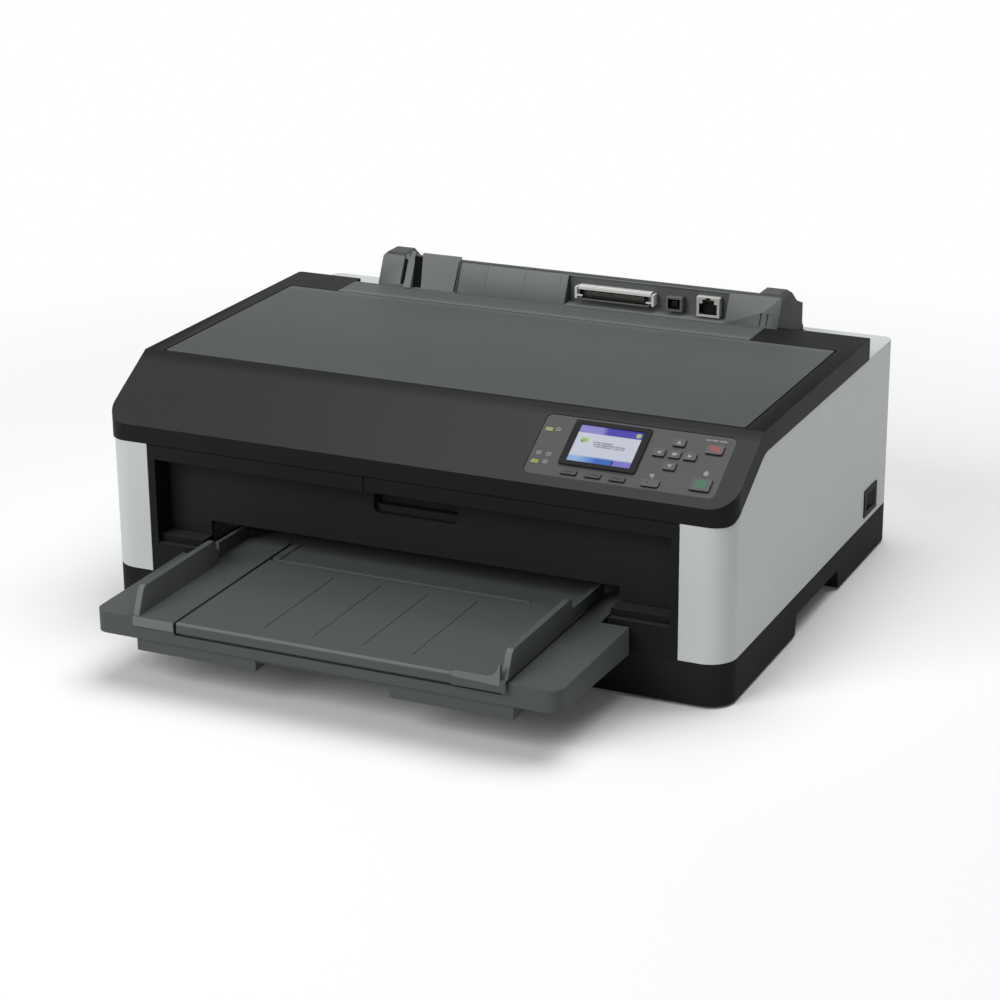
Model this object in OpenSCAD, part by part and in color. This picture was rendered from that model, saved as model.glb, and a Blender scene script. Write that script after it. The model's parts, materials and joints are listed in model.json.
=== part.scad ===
// Desktop flatbed dot matrix printer, as an assembly of separate pieces.
// Z is up from the desk, X runs along the print line, and the front faces -Y.
// Every piece is drawn with Y measured back from the front face of the casing.

/* [Casing] */
// Width over the side panels
body_w = 484; // [470:1:520]
// Depth of the casing, front face to rear wall
body_d = 361; // [350:1:380]
// Height of the flat top above the desk
case_h = 181; // [176:1:195]
// Thickness of the moulded walls
wall = 2.5; // [2:0.1:3]
// Height of the black base
base_h = 33; // [30:1:36]
// Radius of the casing's upright corners in front
corner_r = 20; // [14:1:24]
// Radius of the casing's upright corners at the rear
rear_r = 8; // [6:1:14]
// How far the light side panels reach round onto the front
wrap_w = 36; // [32:1:40]
// Step between the top case and the panels under it
panel_inset = 0.6; // [0.3:0.1:1.5]
// Height of the rubber feet
foot_h = 2; // [1.5:0.5:4]
// Radius of a rubber foot
foot_r = 9; // [7:0.5:11]

/* [Top case] */
// Height of the front lip
lip_h = 13; // [11:0.5:16]
// Top edge of the front lip above the desk
lip_top = 144; // [141:0.5:148]
// Depth of the sloping control face, measured flat
slope_run = 62; // [56:1:68]
// Reach of the top case's sides past the rear guide's front face
top_over = 6; // [4:0.5:9]
// Height of the dark band on each side
band_h = 16; // [13:0.5:19]

/* [Lid] */
// Border of the top case at each side of the lid
lid_border = 15; // [13:0.5:22]
// Border of the top case between the slope and the lid
lid_front = 4; // [3:0.5:10]
// Thickness of the lid
lid_t = 3; // [2.4:0.1:3.2]
// Clear line round the lid
lid_gap = 1.4; // [1:0.1:1.8]
// Radius of the lid's hinge pins
lid_pin_r = 2.5; // [2:0.1:2.8]
// Pivot of the lid, forward of its rear edge
lid_pivot_in = 15; // [14:0.5:20]
// Pivot of the lid, below the flat top
lid_pivot_down = 4.6; // [4.5:0.1:5.2]
// Left end of the fixed strip behind the lid, from the middle
strip_left = 186; // [180:1:200]
// Right end of the fixed strip behind the lid, from the middle
strip_right = 160; // [150:1:175]
// Depth of the fixed strip
strip_d = 30.7; // [27:0.1:34]
// Gap between the fixed strip and the rear guide
strip_gap = 3; // [2.8:0.1:4]

/* [Front] */
// Width of the casing's front at each side of the recess
cheek_w = 42; // [39:1:46]
// Floor of the front recess above the desk
recess_low = 61; // [60:0.5:63]
// Height of the bar between the recess and the lip
bar_h = 11; // [8:0.5:14]
// Depth of the front recess, to the cover in it
recess_d = 19; // [16:0.5:24]
// Height of the step in the sill, down from the recess
sill_step = 5.5; // [4:0.5:8]
// Left end of the paper slot, from the middle
slot_left = 165; // [163:1:168]
// Right end of the paper slot, from the middle
slot_right = 155; // [152:1:162]
// Upper edge of the paper slot above the paper surface
slot_up = 18; // [15:0.5:20]
// Width of the finger grip in the front cover
grip_w = 66; // [50:1:80]
// Height of the finger grip in the front cover
grip_h = 14.5; // [13:0.5:17]
// Middle of the finger grip, down from the bar
grip_down = 14.8; // [13:0.1:18]

/* [Front tray] */
// Reach of the tray in front of the casing
tray_reach = 122; // [110:1:130]
// Left edge of the tray's wings, from the middle
wing_left = 179; // [174:1:184]
// Right edge of the tray's wings, from the middle
wing_right = 171; // [167:1:180]
// Paper surface of the tray above the desk
table_z = 53; // [52:0.5:54]
// Raise of the table plate over the wings
table_t = 1.5; // [1.3:0.1:2]
// Left edge of the table plate, from the middle
table_left = 112; // [104:1:118]
// Right edge of the table plate, from the middle
table_right = 131; // [127:1:131]
// Depth of the wings' skirt at the front
skirt_h = 15.5; // [13:0.5:18]
// Radius of the wings' front corners
wing_r = 10; // [6:1:16]
// Outer face of the left edge guide, in from the slot's end
guide_left_in = 18.5; // [17.5:0.5:20]
// Outer face of the right edge guide, in from the slot's end
guide_right_in = 20; // [17:0.5:21]
// Thickness of an edge guide's wall
guide_t = 4.5; // [3.5:0.5:5]
// Height of an edge guide over the paper surface
guide_h = 19; // [15:1:20]
// Stand of the right edge guide's lip in front of the tray
guide_lip = 1.9; // [1.5:0.1:2.5]

/* [Control panel] */
// Right edge of the control panel, in from the casing's side
cp_in = 15.5; // [12:0.5:18]
// Lower edge of the control panel, up the slope from the lip
cp_s0 = 9; // [7:0.5:9.5]
// Border of the control panel above the display
cp_above = 3.2; // [2.5:0.1:4]
// Room for the lamps, left of the display
lamp_room = 22.7; // [20:0.1:26]
// Distance from one arrow key to the next, across
key_pitch_x = 11.2; // [10:0.1:12]
// Distance from one arrow key to the next, up the slope
key_pitch_s = 10.7; // [9:0.1:11.5]
// Width of the display's frame
lcd_w = 56; // [50:1:57]
// Height of the display's frame
lcd_h = 40; // [36:1:41]
// Travel of a button
key_travel = 0.8; // [0.5:0.1:1]
// Clear line round a button
key_gap = 0.3; // [0.25:0.05:0.5]

/* [Rear guide] */
// Left end of the rear guide, from the middle
rear_left = 167; // [165:1:175]
// Right end of the rear guide, from the middle
rear_right = 170; // [166:1:176]
// Height of the rear guide's panel over the flat top
rear_up = 22.5; // [20:0.5:26]
// Height of the rear guide's ears over the flat top
ear_up = 23.5; // [22:0.5:28]
// Width of the rear guide's ears
ear_w = 18.5; // [14:0.5:22]
// Lean of the rear guide's face, from the flat top to its upper edge
rear_lean = 11; // [8:0.5:12]
// Front face of the rear guide, ahead of the rear wall
rear_back = 67; // [64:0.5:72]
// Left end of the connector bay, from the middle
bay_x0 = -5; // [-8:1:-2]
// Gap between one socket and the next
port_gap = 12; // [10:0.5:14]
// Depth of the connector bay at its foot
bay_d = 12; // [11.5:0.5:14]

/* [Mechanism] */
// Inner face of each side frame, in from the casing's side
frame_in = 42; // [39:0.5:46]
// Thickness of the side frames
frame_t = 2; // [1.5:0.1:2.5]
// Radius of the carriage shaft
shaft_r = 6; // [5:0.5:7]
// Place of the carriage shaft behind the print line
shaft_back = 26; // [25:0.5:28]
// Place of the carriage shaft above the paper surface
shaft_up = 31; // [29:0.5:34]
// Running clearance of a shaft in its bore, per side
fit = 0.05; // [0.03:0.01:0.08]
// Radius of a feed roller
feed_r = 8; // [7:0.5:9]
// Radius of a pinch roller
pinch_r = 5; // [4:0.5:6]
// Place of the front roller pair behind the front face
front_roll_y = 92; // [88:0.5:96]
// Place of the print line behind the front roller pair
head_back = 59; // [56:0.5:62]
// Teeth of a feed roller's gear
roll_teeth = 24; // [20:2:26]
// Teeth of the idler gear between the rollers
idler_teeth = 42; // [40:2:44]
// Teeth of the feed motor's pinion
pinion_teeth = 12; // [12:1:16]
// Gear module, pitch diameter per tooth
gear_m = 1.5; // [1.4:0.1:1.6]
// Radius of the belt pulleys
pulley_r = 8; // [7:0.5:10]
// Place of each belt pulley, in from its side frame
pulley_in = 25; // [22:0.5:30]

/* [Hidden] */
$fn = 64;
clear = 0.3;              // between pieces that pass each other
eps = 0.01;
half_w = body_w / 2;
front_y = (tray_reach + guide_lip - body_d) / 2;   // front face in the part's own frame
lip_low = lip_top - lip_h;
slope_a = atan((case_h - lip_top) / slope_run);
panel_w = half_w - panel_inset;        // outer face of the side panels
ledge_z = case_h - band_h;             // top of the light panels
top_wall = 3;                          // thickness of the top case
rear_face = body_d - rear_back;
rear_top = case_h + rear_up;
ear_top = case_h + ear_up;
top_d = rear_face + top_over;
strip_rear = rear_face - strip_gap;
lid_w = body_w - 2 * lid_border;
lid_y = slope_run + lid_front;
lid_rear = strip_rear - strip_d - lid_gap - clear;
lid_pivot_y = lid_rear - lid_pivot_in;
lid_pivot_z = case_h - lid_pivot_down;
recess_half = half_w - cheek_w;
recess_top = lip_low - bar_h;
sill_step_h = recess_low - sill_step;
grip_z = recess_top - grip_down;
guide_left = slot_left - guide_left_in;
guide_jog = 6.5;                       // its low rear end stands this much further out
guide_right = slot_right - guide_right_in;
slot_top = table_z + slot_up;
deck_z = table_z - table_t;            // top of the tray's wings
tongue_t = 6.5;                        // thickness of the tray's tongue
slot_low = deck_z - tongue_t - clear;  // lower edge of the paper slot
cover_t = 3;
cover_y = recess_d;
barrel_r = 3.2;                        // hinge barrels of the front cover
cover_pivot = [cover_y + barrel_r, recess_low + barrel_r + 0.2];
grip_x = 1;                            // the grip sits a little right of the middle
hand_y = [142, 243];                   // side hand grips, front and rear
hand_h = 15;
hand_d = 22;
switch_y = [body_d - 60, body_d - 32]; // power switch on the right side
switch_z = [base_h + 6, base_h + 25];
switch_rim = 3;
screw_x = 150;
screw_y = [70, body_d - 67];
plate_z = 8;                           // chassis plate above the desk
plate_t = 1.2;
plate_y = [front_roll_y - 47, body_d - 27];   // front and rear edges of the chassis plate
floor_z = foot_h + wall;               // inside of the base
roll_z = table_z - feed_r;             // axis of the feed rollers
pinch_z = table_z + clear + pinch_r;   // axis of the pinch rollers
roll_pitch = gear_m * roll_teeth / 2;
idler_pitch = gear_m * idler_teeth / 2;
pinion_pitch = gear_m * pinion_teeth / 2;
idler_y = front_roll_y + roll_pitch + idler_pitch;
rear_roll_y = idler_y + roll_pitch + idler_pitch;
pinion_a = 128;                        // pinion round the idler, from +Y upwards
pinion_y = idler_y + (idler_pitch + pinion_pitch) * cos(pinion_a);
pinion_z = roll_z + (idler_pitch + pinion_pitch) * sin(pinion_a);
frame_half = half_w - frame_in;
gear_x = frame_half + frame_t + 2;     // gears run outside the right frame
gear_t = 6;
journal_r = 4;
pinch_journal_r = 2.5;
stud_r = 3;
belt_t = 1.4;
belt_w = 6;
head_y = front_roll_y + head_back;     // print line
shaft_y = head_y + shaft_back;
shaft_z = table_z + shaft_up;
belt_z = shaft_z + 24;
motor_r = 16;
pulley_x = frame_half - pulley_in;
belt_y = shaft_y + 13 + clear + motor_r;
belt_front = belt_y - pulley_r - clear - belt_t;   // outer face of the belt's front run
carriage_half = 30;
rail_y = head_y - 39;
rail_z = shaft_z + 28;
cart_z = shaft_z + 32;                 // underside of the ribbon cartridge
cart_h = 18;
cart_end = 12;                         // from the cartridge's end to the side frame
cart_arm_z = table_z + 25;             // where the cartridge's arms bend down to the ribbon
cart_y = [head_y - 81, head_y - 43];
knob_x = 50 - frame_half;
knob_y = head_y - 61;
psu_x = [frame_half - 130, frame_half - 10];
psu_y = body_d - 113;
psu_h = 50;
inlet_x = psu_x[0] + 45;
inlet_z = 46;
board_x = [44 - frame_half, psu_x[0] - 14];
board_y = [body_d - 123, body_d - 29];
chute_half = 150;
case_dark = [0.2, 0.2, 0.21];
slate = [0.35, 0.37, 0.38];
light = [0.72, 0.74, 0.75];
black = [0.1, 0.1, 0.1];
steel = [0.7, 0.71, 0.73];

// ---- helpers ----

// Drawing frame: Y measured back from the casing's front face
module seat() { translate([0, front_y, 0]) children(); }

// A box given by its two ends on each axis
module span(x, y, z) {
    translate([x[0], y[0], z[0]]) cube([x[1] - x[0], y[1] - y[0], z[1] - z[0]]);
}

// A side outline (Y, Z points) drawn along X
module along_x(x0, x1) {
    translate([x0, 0, 0]) rotate([90, 0, 90]) linear_extrude(x1 - x0) children();
}

// A round bar along X
module rod_x(r, x0, x1) { translate([x0, 0, 0]) rotate([0, 90, 0]) cylinder(r = r, h = x1 - x0); }

// Square corner to be taken off to leave a round one
module corner_off(x, y, sx, sy, r) {
    translate([x - sx * r, y - sy * r]) difference() {
        translate([sx > 0 ? 0 : -r - 1, sy > 0 ? 0 : -r - 1]) square(r + 1);
        circle(r = r, $fn = 96);
    }
}

// Plan of the casing: half width, front and rear edges, front and rear corner radii
module plan(half, y0, y1, rf, rr) {
    difference() {
        translate([-half, y0]) square([2 * half, y1 - y0]);
        for (s = [-1, 1]) {
            corner_off(s * half, y0, s, -1, rf);
            corner_off(s * half, y1, s, 1, rr);
        }
    }
}

// Rounded rectangle from x0, y0 to x1, y1
module pad(x0, y0, x1, y1, r) {
    difference() {
        translate([x0, y0]) square([x1 - x0, y1 - y0]);
        for (s = [-1, 1], t = [-1, 1]) corner_off(s > 0 ? x1 : x0, t > 0 ? y1 : y0, s, t, r);
    }
}

// Points of an arc that rounds the corner b between a and c
function unit(v) = v / norm(v);
function rounded(a, b, c, r, n = 6) =
    let (u = unit(a - b), v = unit(c - b), half_ang = acos(u * v) / 2, d = r / tan(half_ang),
         o = b + unit(u + v) * r / sin(half_ang), p = b + u * d, q = b + v * d,
         a0 = atan2(p.y - o.y, p.x - o.x), a1 = atan2(q.y - o.y, q.x - o.x),
         turn = a1 - a0 > 180 ? a1 - a0 - 360 : a1 - a0 < -180 ? a1 - a0 + 360 : a1 - a0)
    [for (i = [0 : n]) o + r * [cos(a0 + turn * i / n), sin(a0 + turn * i / n)]];

// Lower edge of the dark band, front to rear, as side-outline points
band_d = band_h - 0.8;                 // band thickness, square to the slope
function band_at(z) = (band_d + (z - lip_top) * cos(slope_a)) / sin(slope_a);
function band_edge(down = 0) =
    let (a = [-1, lip_low - down], b = [band_at(lip_low), lip_low - down],
         c = [band_at(ledge_z), ledge_z - down], d = [body_d + 1, ledge_z - down])
    concat([a], rounded(a, b, c, 14), rounded(b, c, d, 22), [d]);

// Slope frame: X as the part's, Y up the slope from the lip, Z square out of the slope
module on_slope() { translate([0, 0, lip_top]) rotate([slope_a, 0, 0]) children(); }

// Involute spur gear outline with a little backlash
function inv_deg(a) = tan(a) * 180 / PI - a;
function tooth_half(r, z, m) =
    let (rb = m * z / 2 * cos(20), t = r <= rb ? 0 : acos(rb / r))
    90 / z - 6 / z + inv_deg(20) - inv_deg(t);
function gear_pts(z, m) =
    let (rp = m * z / 2, rb = rp * cos(20), r0 = rp - 1.25 * m, r1 = rp + 0.9 * m,
         steps = [for (i = [0 : 3]) max(rb, r0 + 0.3) + (r1 - max(rb, r0 + 0.3)) * i / 3],
         radii = concat([r0], steps))
    [for (k = [0 : z - 1]) each concat(
        [for (r = radii) r * [cos(360 * k / z - tooth_half(r, z, m)),
                              sin(360 * k / z - tooth_half(r, z, m))]],
        [for (i = [4 : -1 : 0]) radii[i] * [cos(360 * k / z + tooth_half(radii[i], z, m)),
                                            sin(360 * k / z + tooth_half(radii[i], z, m))]])];

// A gear outside the right frame, turned by a degrees round X, with a bore of radius r
module gear_x_plate(z, a, bore) {
    translate([gear_x, 0, 0]) rotate([90, 0, 90]) rotate(a) linear_extrude(gear_t) difference() {
        polygon(gear_pts(z, gear_m));
        if (bore > 0) circle(r = bore);
    }
}

// ---- casing ----

module hand_grip(s, grow) {
    x_in = panel_w - hand_d - grow;
    along_x(s > 0 ? x_in : -half_w - 1, s > 0 ? half_w + 1 : -x_in)
        polygon([[hand_y[0] - grow, -1], [hand_y[0] + 3 - grow, foot_h + hand_h + grow],
                 [hand_y[1] - 4 + grow, foot_h + hand_h + grow], [hand_y[1] + grow, -1]]);
}

module lower_case() {
    color(black) seat() {
        difference() {
            translate([0, 0, foot_h]) linear_extrude(base_h - foot_h)
                plan(panel_w, 0, body_d, corner_r, rear_r);
            difference() {
                translate([0, 0, floor_z]) linear_extrude(base_h)
                    plan(panel_w - wall, wall, body_d - wall, corner_r - wall, rear_r - wall);
                for (s = [-1, 1]) hand_grip(s, wall);
            }
            for (s = [-1, 1]) hand_grip(s, 0);
            for (s = [-1, 1], y = screw_y) translate([s * screw_x, y, 0])
                cylinder(r = 1.6, h = floor_z + 1);
            base_vents();
        }
        for (s = [-1, 1]) span([s * 110 - 1, s * 110 + 1], [50, body_d - 32], [floor_z - eps, plate_z]);
    }
}

// Cooling slots through the floor of the base
module base_vents() {
    for (i = [0 : 9]) span([psu_x[0] + 14 + i * 10, psu_x[0] + 17 + i * 10], [psu_y + 18, body_d - 39],
                           [foot_h - 1, floor_z + 1]);
}

module feet() {
    color([0.06, 0.06, 0.06]) seat()
        for (s = [-1, 1], y = [32, body_d - 32]) translate([s * (half_w - 38), y, 0])
            cylinder(r = foot_r, h = foot_h);
}

// Right-hand side panel, with the part of the ledge behind the top case
module side_panel() {
    ledge_in = rear_right + 2;
    difference() {
        intersection() {
            union() {
                translate([0, 0, base_h]) linear_extrude(case_h) difference() {
                    plan(panel_w, 0, body_d, corner_r, rear_r);
                    plan(panel_w - wall, wall, body_d - wall, corner_r - wall, rear_r - wall);
                    translate([-half_w - 1, -1]) square([2 * half_w - wrap_w + 1, body_d / 2 + 1]);
                    translate([-half_w - 1, body_d / 2]) square([half_w + 1 + ledge_in, body_d]);
                }
                translate([0, 0, ledge_z - wall]) linear_extrude(wall + 1) intersection() {
                    plan(panel_w, 0, body_d, corner_r, rear_r);
                    translate([ledge_in, top_d + clear]) square([half_w, body_d]);
                }
            }
            along_x(0, half_w) polygon(concat([[-1, 0]], band_edge(0), [[body_d + 1, 0]]));
        }
        // the top case comes down inside the panel's upper edge
        span([0, half_w + 1], [top_d - 1, top_d + clear], [ledge_z - eps, case_h]);
    }
}

module side_panel_left() { color(light) seat() mirror([1, 0, 0]) side_panel(); }

module side_panel_right() {
    color(light) seat() difference() {
        side_panel();
        span([panel_w - 5, half_w + 5], switch_y, switch_z);
    }
}

module rear_panel() {
    half = rear_right + 2;
    color(light) seat() difference() {
        union() {
            span([-half, half], [body_d - wall, body_d], [base_h, ledge_z]);
            span([-half, half], [body_d - 6, body_d - wall + eps], [ledge_z - wall, ledge_z]);
        }
        span([inlet_x - 15, inlet_x + 15], [body_d - 4, body_d + 1], [inlet_z - 12, inlet_z + 12]);
        // upright cooling slots
        for (i = [0 : 13]) span([-120 + i * 11, -116.5 + i * 11], [body_d - 4, body_d + 1], [95, 135]);
    }
}

module upper_case() {
    inner = half_w - top_wall;
    hole = lid_w / 2 + lid_gap;
    rim_z = case_h - lid_t - clear;
    color(case_dark) seat() difference() {
        union() {
            difference() {
                intersection() {
                    translate([0, 0, lip_low]) linear_extrude(case_h)
                        plan(half_w, 0, top_d, corner_r - 2, 3);
                    along_x(-half_w, half_w) polygon(concat(
                        [[0, lip_low]], [[0, lip_top], [slope_run, case_h], [top_d, case_h]],
                        [[top_d, ledge_z]], [for (i = [len(band_edge()) - 2 : -1 : 1]) band_edge()[i]]));
                }
                intersection() {
                    translate([0, 0, 0]) linear_extrude(case_h)
                        plan(inner, top_wall, top_d - top_wall, corner_r - 2 - top_wall, 1);
                    along_x(-inner, inner) polygon([
                        [-1, 0], [-1, lip_top - top_wall / cos(slope_a) - tan(slope_a)],
                        [slope_run + top_wall * tan(slope_a / 2), case_h - top_wall],
                        [top_d, case_h - top_wall], [top_d, 0]]);
                }
            }
            // rim that the lid rests in
            span([-hole - 3, hole + 3], [lid_y - lid_gap - 2, lid_pivot_y - 18],
                 [rim_z - 2.4, case_h - top_wall + eps]);
            // shelf under the fixed strip
            span([-strip_left - 4, strip_right + 4], [lid_rear + lid_gap + clear, strip_rear],
                 [case_h - 2 * lid_t, case_h - top_wall + eps]);
            for (s = [-1, 1]) hinge_pin(s, hole);
        }
        // lid opening and its rebate
        span([-hole, hole], [lid_y - lid_gap, lid_rear + lid_gap], [rim_z, case_h + 1]);
        span([-hole + 4, hole - 4], [lid_y + 3, lid_rear + lid_gap], [rim_z - 4, rim_z + 1]);
        span([-hole, hole], [lid_pivot_y - 18, lid_pivot_y - lid_pin_r - 2.2], [rim_z - 4, rim_z + 1]);
        // notch for the fixed strip, open at the rear
        span([-strip_left - clear, strip_right + clear], [lid_rear, strip_rear + eps],
             [case_h - lid_t, case_h + 1]);
        span([-strip_left - clear, strip_right + clear], [strip_rear, top_d + 1], [0, case_h + 1]);
        span([-rear_left - clear, rear_right + clear], [rear_face - clear, top_d + 1], [0, case_h + 1]);
        // window for the control panel
        on_slope() translate([0, 0, -6]) linear_extrude(12) pad(cp_x0, cp_s0, cp_x1, cp_s1, 5);
    }
}

// Bracket and pin that carry one end of the lid
module hinge_pin(s, hole) {
    for (x = [s > 0 ? hole : -hole - 3]) {
        span([x, x + 3], [lid_pivot_y - 4.5, lid_pivot_y + 4.5],
             [lid_pivot_z - 4.5, case_h - top_wall + eps]);
        translate([0, lid_pivot_y, lid_pivot_z])
            rod_x(lid_pin_r, s > 0 ? hole - 7 : x, s > 0 ? hole + 1 : x + 10);
    }
}

module rear_strip() {
    color(slate) seat()
        span([-strip_left, strip_right], [lid_rear + lid_gap + clear, strip_rear],
             [case_h - lid_t, case_h]);
}

module lid() {
    half = lid_w / 2;
    rib_half = half - 27;
    low = case_h - lid_t;
    color(slate) seat() difference() {
        union() {
            translate([0, 0, low]) linear_extrude(lid_t) pad(-half, lid_y, half, lid_rear, 2);
            // stiffening ribs underneath
            for (i = [-4 : 4]) span([i * rib_half / 4 - 1, i * rib_half / 4 + 1],
                                    [lid_y + 12, lid_rear - 30], [low - 4, low + eps]);
            for (y = [lid_y + 12, (lid_y + lid_rear) / 2, lid_rear - 32])
                span([-rib_half - 1, rib_half + 1], [y, y + 2], [low - 4, low + eps]);
            for (s = [-1, 1]) {
                translate([0, lid_pivot_y, lid_pivot_z]) rod_x(4.4, s > 0 ? half - 5 : -half + 1.5,
                                                               s > 0 ? half - 1.5 : -half + 5);
                span(s > 0 ? [half - 5, half - 1.5] : [-half + 1.5, -half + 5],
                     [lid_pivot_y - 4.4, lid_pivot_y + 4.4], [lid_pivot_z, low + eps]);
            }
        }
        for (s = [-1, 1]) translate([0, lid_pivot_y, lid_pivot_z])
            rod_x(lid_pin_r + fit, s > 0 ? half - 7 : -half - 1, s > 0 ? half + 1 : -half + 7);
    }
}

// ---- front ----

module front_frame() {
    half = half_w - wrap_w - clear;
    bar_seam = grip_x - grip_w / 2 + 2;
    color(black) seat() difference() {
        union() {
            // bar over the recess
            span([-half, half], [0, recess_d + 8], [recess_top, lip_low - 0.6]);
            // cheeks
            for (s = [-1, 1]) span(s > 0 ? [recess_half, half] : [-half, -recess_half],
                                   [0, recess_d + 8], [base_h, lip_low - 0.6]);
            // stepped sill
            span([-half, half], [0, recess_d], [base_h, sill_step_h]);
            span([-half, half], [5, recess_d], [base_h, recess_low - clear]);
            // shelf that the tray's tongue slides on
            span([-slot_left - 3, slot_right + 3], [0, 72], [slot_low - wall, slot_low + eps]);
            for (s = [-1, 1]) span(s > 0 ? [slot_right, slot_right + 3] : [-slot_left - 3, -slot_left],
                                   [0, 72], [slot_low - wall, table_z]);
        }
        span([-slot_left, slot_right], [-1, 73], [slot_low, slot_top]);
        // hollow behind the sill
        span([-half + wall, -slot_left - 3], [wall + 5, recess_d + 1], [base_h - 1, recess_low - wall]);
        span([slot_right + 3, half - wall], [wall + 5, recess_d + 1], [base_h - 1, recess_low - wall]);
        span([-slot_left, slot_right], [wall, recess_d + 1], [base_h - 1, slot_low - wall]);
        // seam where the bar is in two lengths
        span([bar_seam - 0.5, bar_seam + 0.5], [-1, 1], [recess_top - 1, lip_low]);
        // hollow above the recess
        span([-half + wall, half - wall], [wall, recess_d + 6], [recess_top + wall, lip_low]);
        cover_pins(fit);
    }
}

// Hinge pins at the lower corners of the front cover
module cover_pins(grow) {
    for (s = [-1, 1]) translate([0, cover_pivot.x, cover_pivot.y])
        rod_x(2 + grow, s > 0 ? recess_half - 4 : -recess_half - 4, s > 0 ? recess_half + 4 : -recess_half + 4);
}

module front_cover() {
    half = recess_half - 0.6;
    back = cover_y + cover_t;
    color(black) seat() difference() {
        union() {
            span([-half, half], [cover_y, back], [recess_low, recess_top - 0.5]);
            span([grip_x - grip_w / 2 - 2, grip_x + grip_w / 2 + 2], [cover_y, back + 9],
                 [grip_z - grip_h / 2 - 2, grip_z + grip_h / 2 + 2]);
            cover_pins(0);
            for (s = [-1, 1]) translate([0, cover_pivot.x, cover_pivot.y])
                rod_x(barrel_r, s > 0 ? slot_right + 6 : -half, s > 0 ? half : -slot_left - 6);
        }
        span([-slot_left - 0.5, slot_right + 0.5], [0, back + 4], [0, slot_top + 0.5]);
        // finger grip: a shallow shelf below, a deep pocket above
        grip_pocket(grip_h, 4);
        translate([0, 0, grip_h * 0.19]) grip_pocket(grip_h * 0.62, 9);
    }
}

// Round-cornered pocket in the cover, of height h and depth d
module grip_pocket(h, d) {
    translate([grip_x, cover_y + d, grip_z]) rotate([90, 0, 0]) linear_extrude(d + 1)
        pad(-grip_w / 2, -h / 2, grip_w / 2, h / 2, min(4, h / 2 - 0.2));
}

// ---- front tray ----

// Underside of the tray's lower frame above the desk, lowest and in the middle
frame_low = deck_z - skirt_h - 9.5;
frame_mid = deck_z - skirt_h - 3;
guide_foot_gap = 2.4;                  // between the table plate and the left guide's foot
bed_step = 9;                          // where the rear bed of the table steps down
// Ends of the lower frame's three stretches
frame_ends = [-146, -54, 49, 138];

module tray_plan() {
    front = -tray_reach + 1.8;
    union() {
        difference() {
            translate([-wing_left, front]) square([wing_left + wing_right, -front - 1]);
            corner_off(-wing_left, front, -1, -1, wing_r);
            corner_off(wing_right, front, 1, -1, wing_r);
        }
        translate([-slot_left + 6, -1.5]) square([slot_left + slot_right - 11, 66]);
    }
}

module tray_base() {
    front = -tray_reach + 1.8;
    low = deck_z - skirt_h;
    color(slate) seat() difference() {
        union() {
            translate([0, 0, deck_z - tongue_t]) linear_extrude(tongue_t) tray_plan();
            // wings' skirts, deeper towards the casing
            intersection() {
                translate([0, 0, low - 5]) linear_extrude(skirt_h + 5) tray_plan();
                along_x(-wing_left, wing_right) polygon([
                    [front, deck_z], [front, low], [-1, low - 4.5], [-1, deck_z]]);
            }
            // lower frame, in three stretches
            span([frame_ends[0], frame_ends[1] + 1], [front + 2, -2], [frame_low, low + 1]);
            span([frame_ends[2] - 1, frame_ends[3]], [front + 2, -2], [frame_low - 1, low + 1]);
            span([frame_ends[1] - 1, frame_ends[2] + 1], [front + 3, -2], [frame_mid, low + 1]);
        }
        // hollow underside
        span([-wing_left + 3, frame_ends[0] - 2], [front + 9, -4], [0, deck_z - 3]);
        span([frame_ends[3] + 2, wing_right - 3], [front + 9, -4], [0, deck_z - 3]);
        span([frame_ends[0] + 3, frame_ends[1] - 2], [front + 5, -5], [0, deck_z - 3]);
        span([frame_ends[2] + 2, frame_ends[3] - 3], [front + 5, -5], [0, deck_z - 3]);
        span([frame_ends[1] + 2, frame_ends[2] - 2], [front + 6, -5], [0, deck_z - 3]);
        // trough under the table plate's front lip
        span([-table_left - guide_foot_gap, table_right], [front - 1, front + 2.2], [deck_z - 8.4, table_z - 7]);
        // channel between the table plate and the left guide's foot
        span([-table_left - guide_foot_gap, -table_left], [front - 1, 40], [deck_z - 2, table_z]);
    }
}

module tray_table() {
    front = -tray_reach;
    color(slate) seat() difference() {
        union() {
            span([-table_left, table_right], [front + 1.8, 44], [deck_z, table_z]);
            // lip folded down over the front edge
            span([-table_left, table_right], [front, front + 1.8], [table_z - 7, table_z]);
        }
        // shallow grooves that guide the sheet
        for (i = [0 : 3]) span([-53.4 + i * 37.4, -52.6 + i * 37.4], [front + 17, bed_step - 13],
            [table_z - 0.4, table_z + 1]);
        // rear bed, behind a rounded rib
        span([-table_left + 6, table_right - 38], [bed_step + 2, 45], [table_z - 0.7, table_z + 2]);
        span([-table_left - 1, -table_left + 4], [bed_step, bed_step + 4], [deck_z - 1, table_z + 1]);
    }
    color(slate) seat() along_x(-table_left + 6, table_right - 38) polygon([
        [bed_step - 0.6, table_z - eps], [bed_step, table_z + 0.5], [bed_step + 1, table_z + 0.7],
        [bed_step + 2, table_z + 0.4], [bed_step + 2.4, table_z - 0.7 - eps], [bed_step - 0.6, table_z - 0.7]]);
}

// Side outline of an edge guide's high front wall
function guide_wall(bottom) = let (top = table_z + guide_h) [
    [-tray_reach + 1, bottom], [-tray_reach + 3, table_z + 4], [-tray_reach + 9, top - 2],
    [-tray_reach + 12, top], [-18, top], [-15.5, top - 1.5], [-12, bottom]];

// Side outline of its low rear wall, which enters the slot
function guide_tail(bottom) = [
    [-16, bottom], [-16, table_z + 10], [42, table_z + 9], [44, table_z + 7], [44, bottom]];

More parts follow.
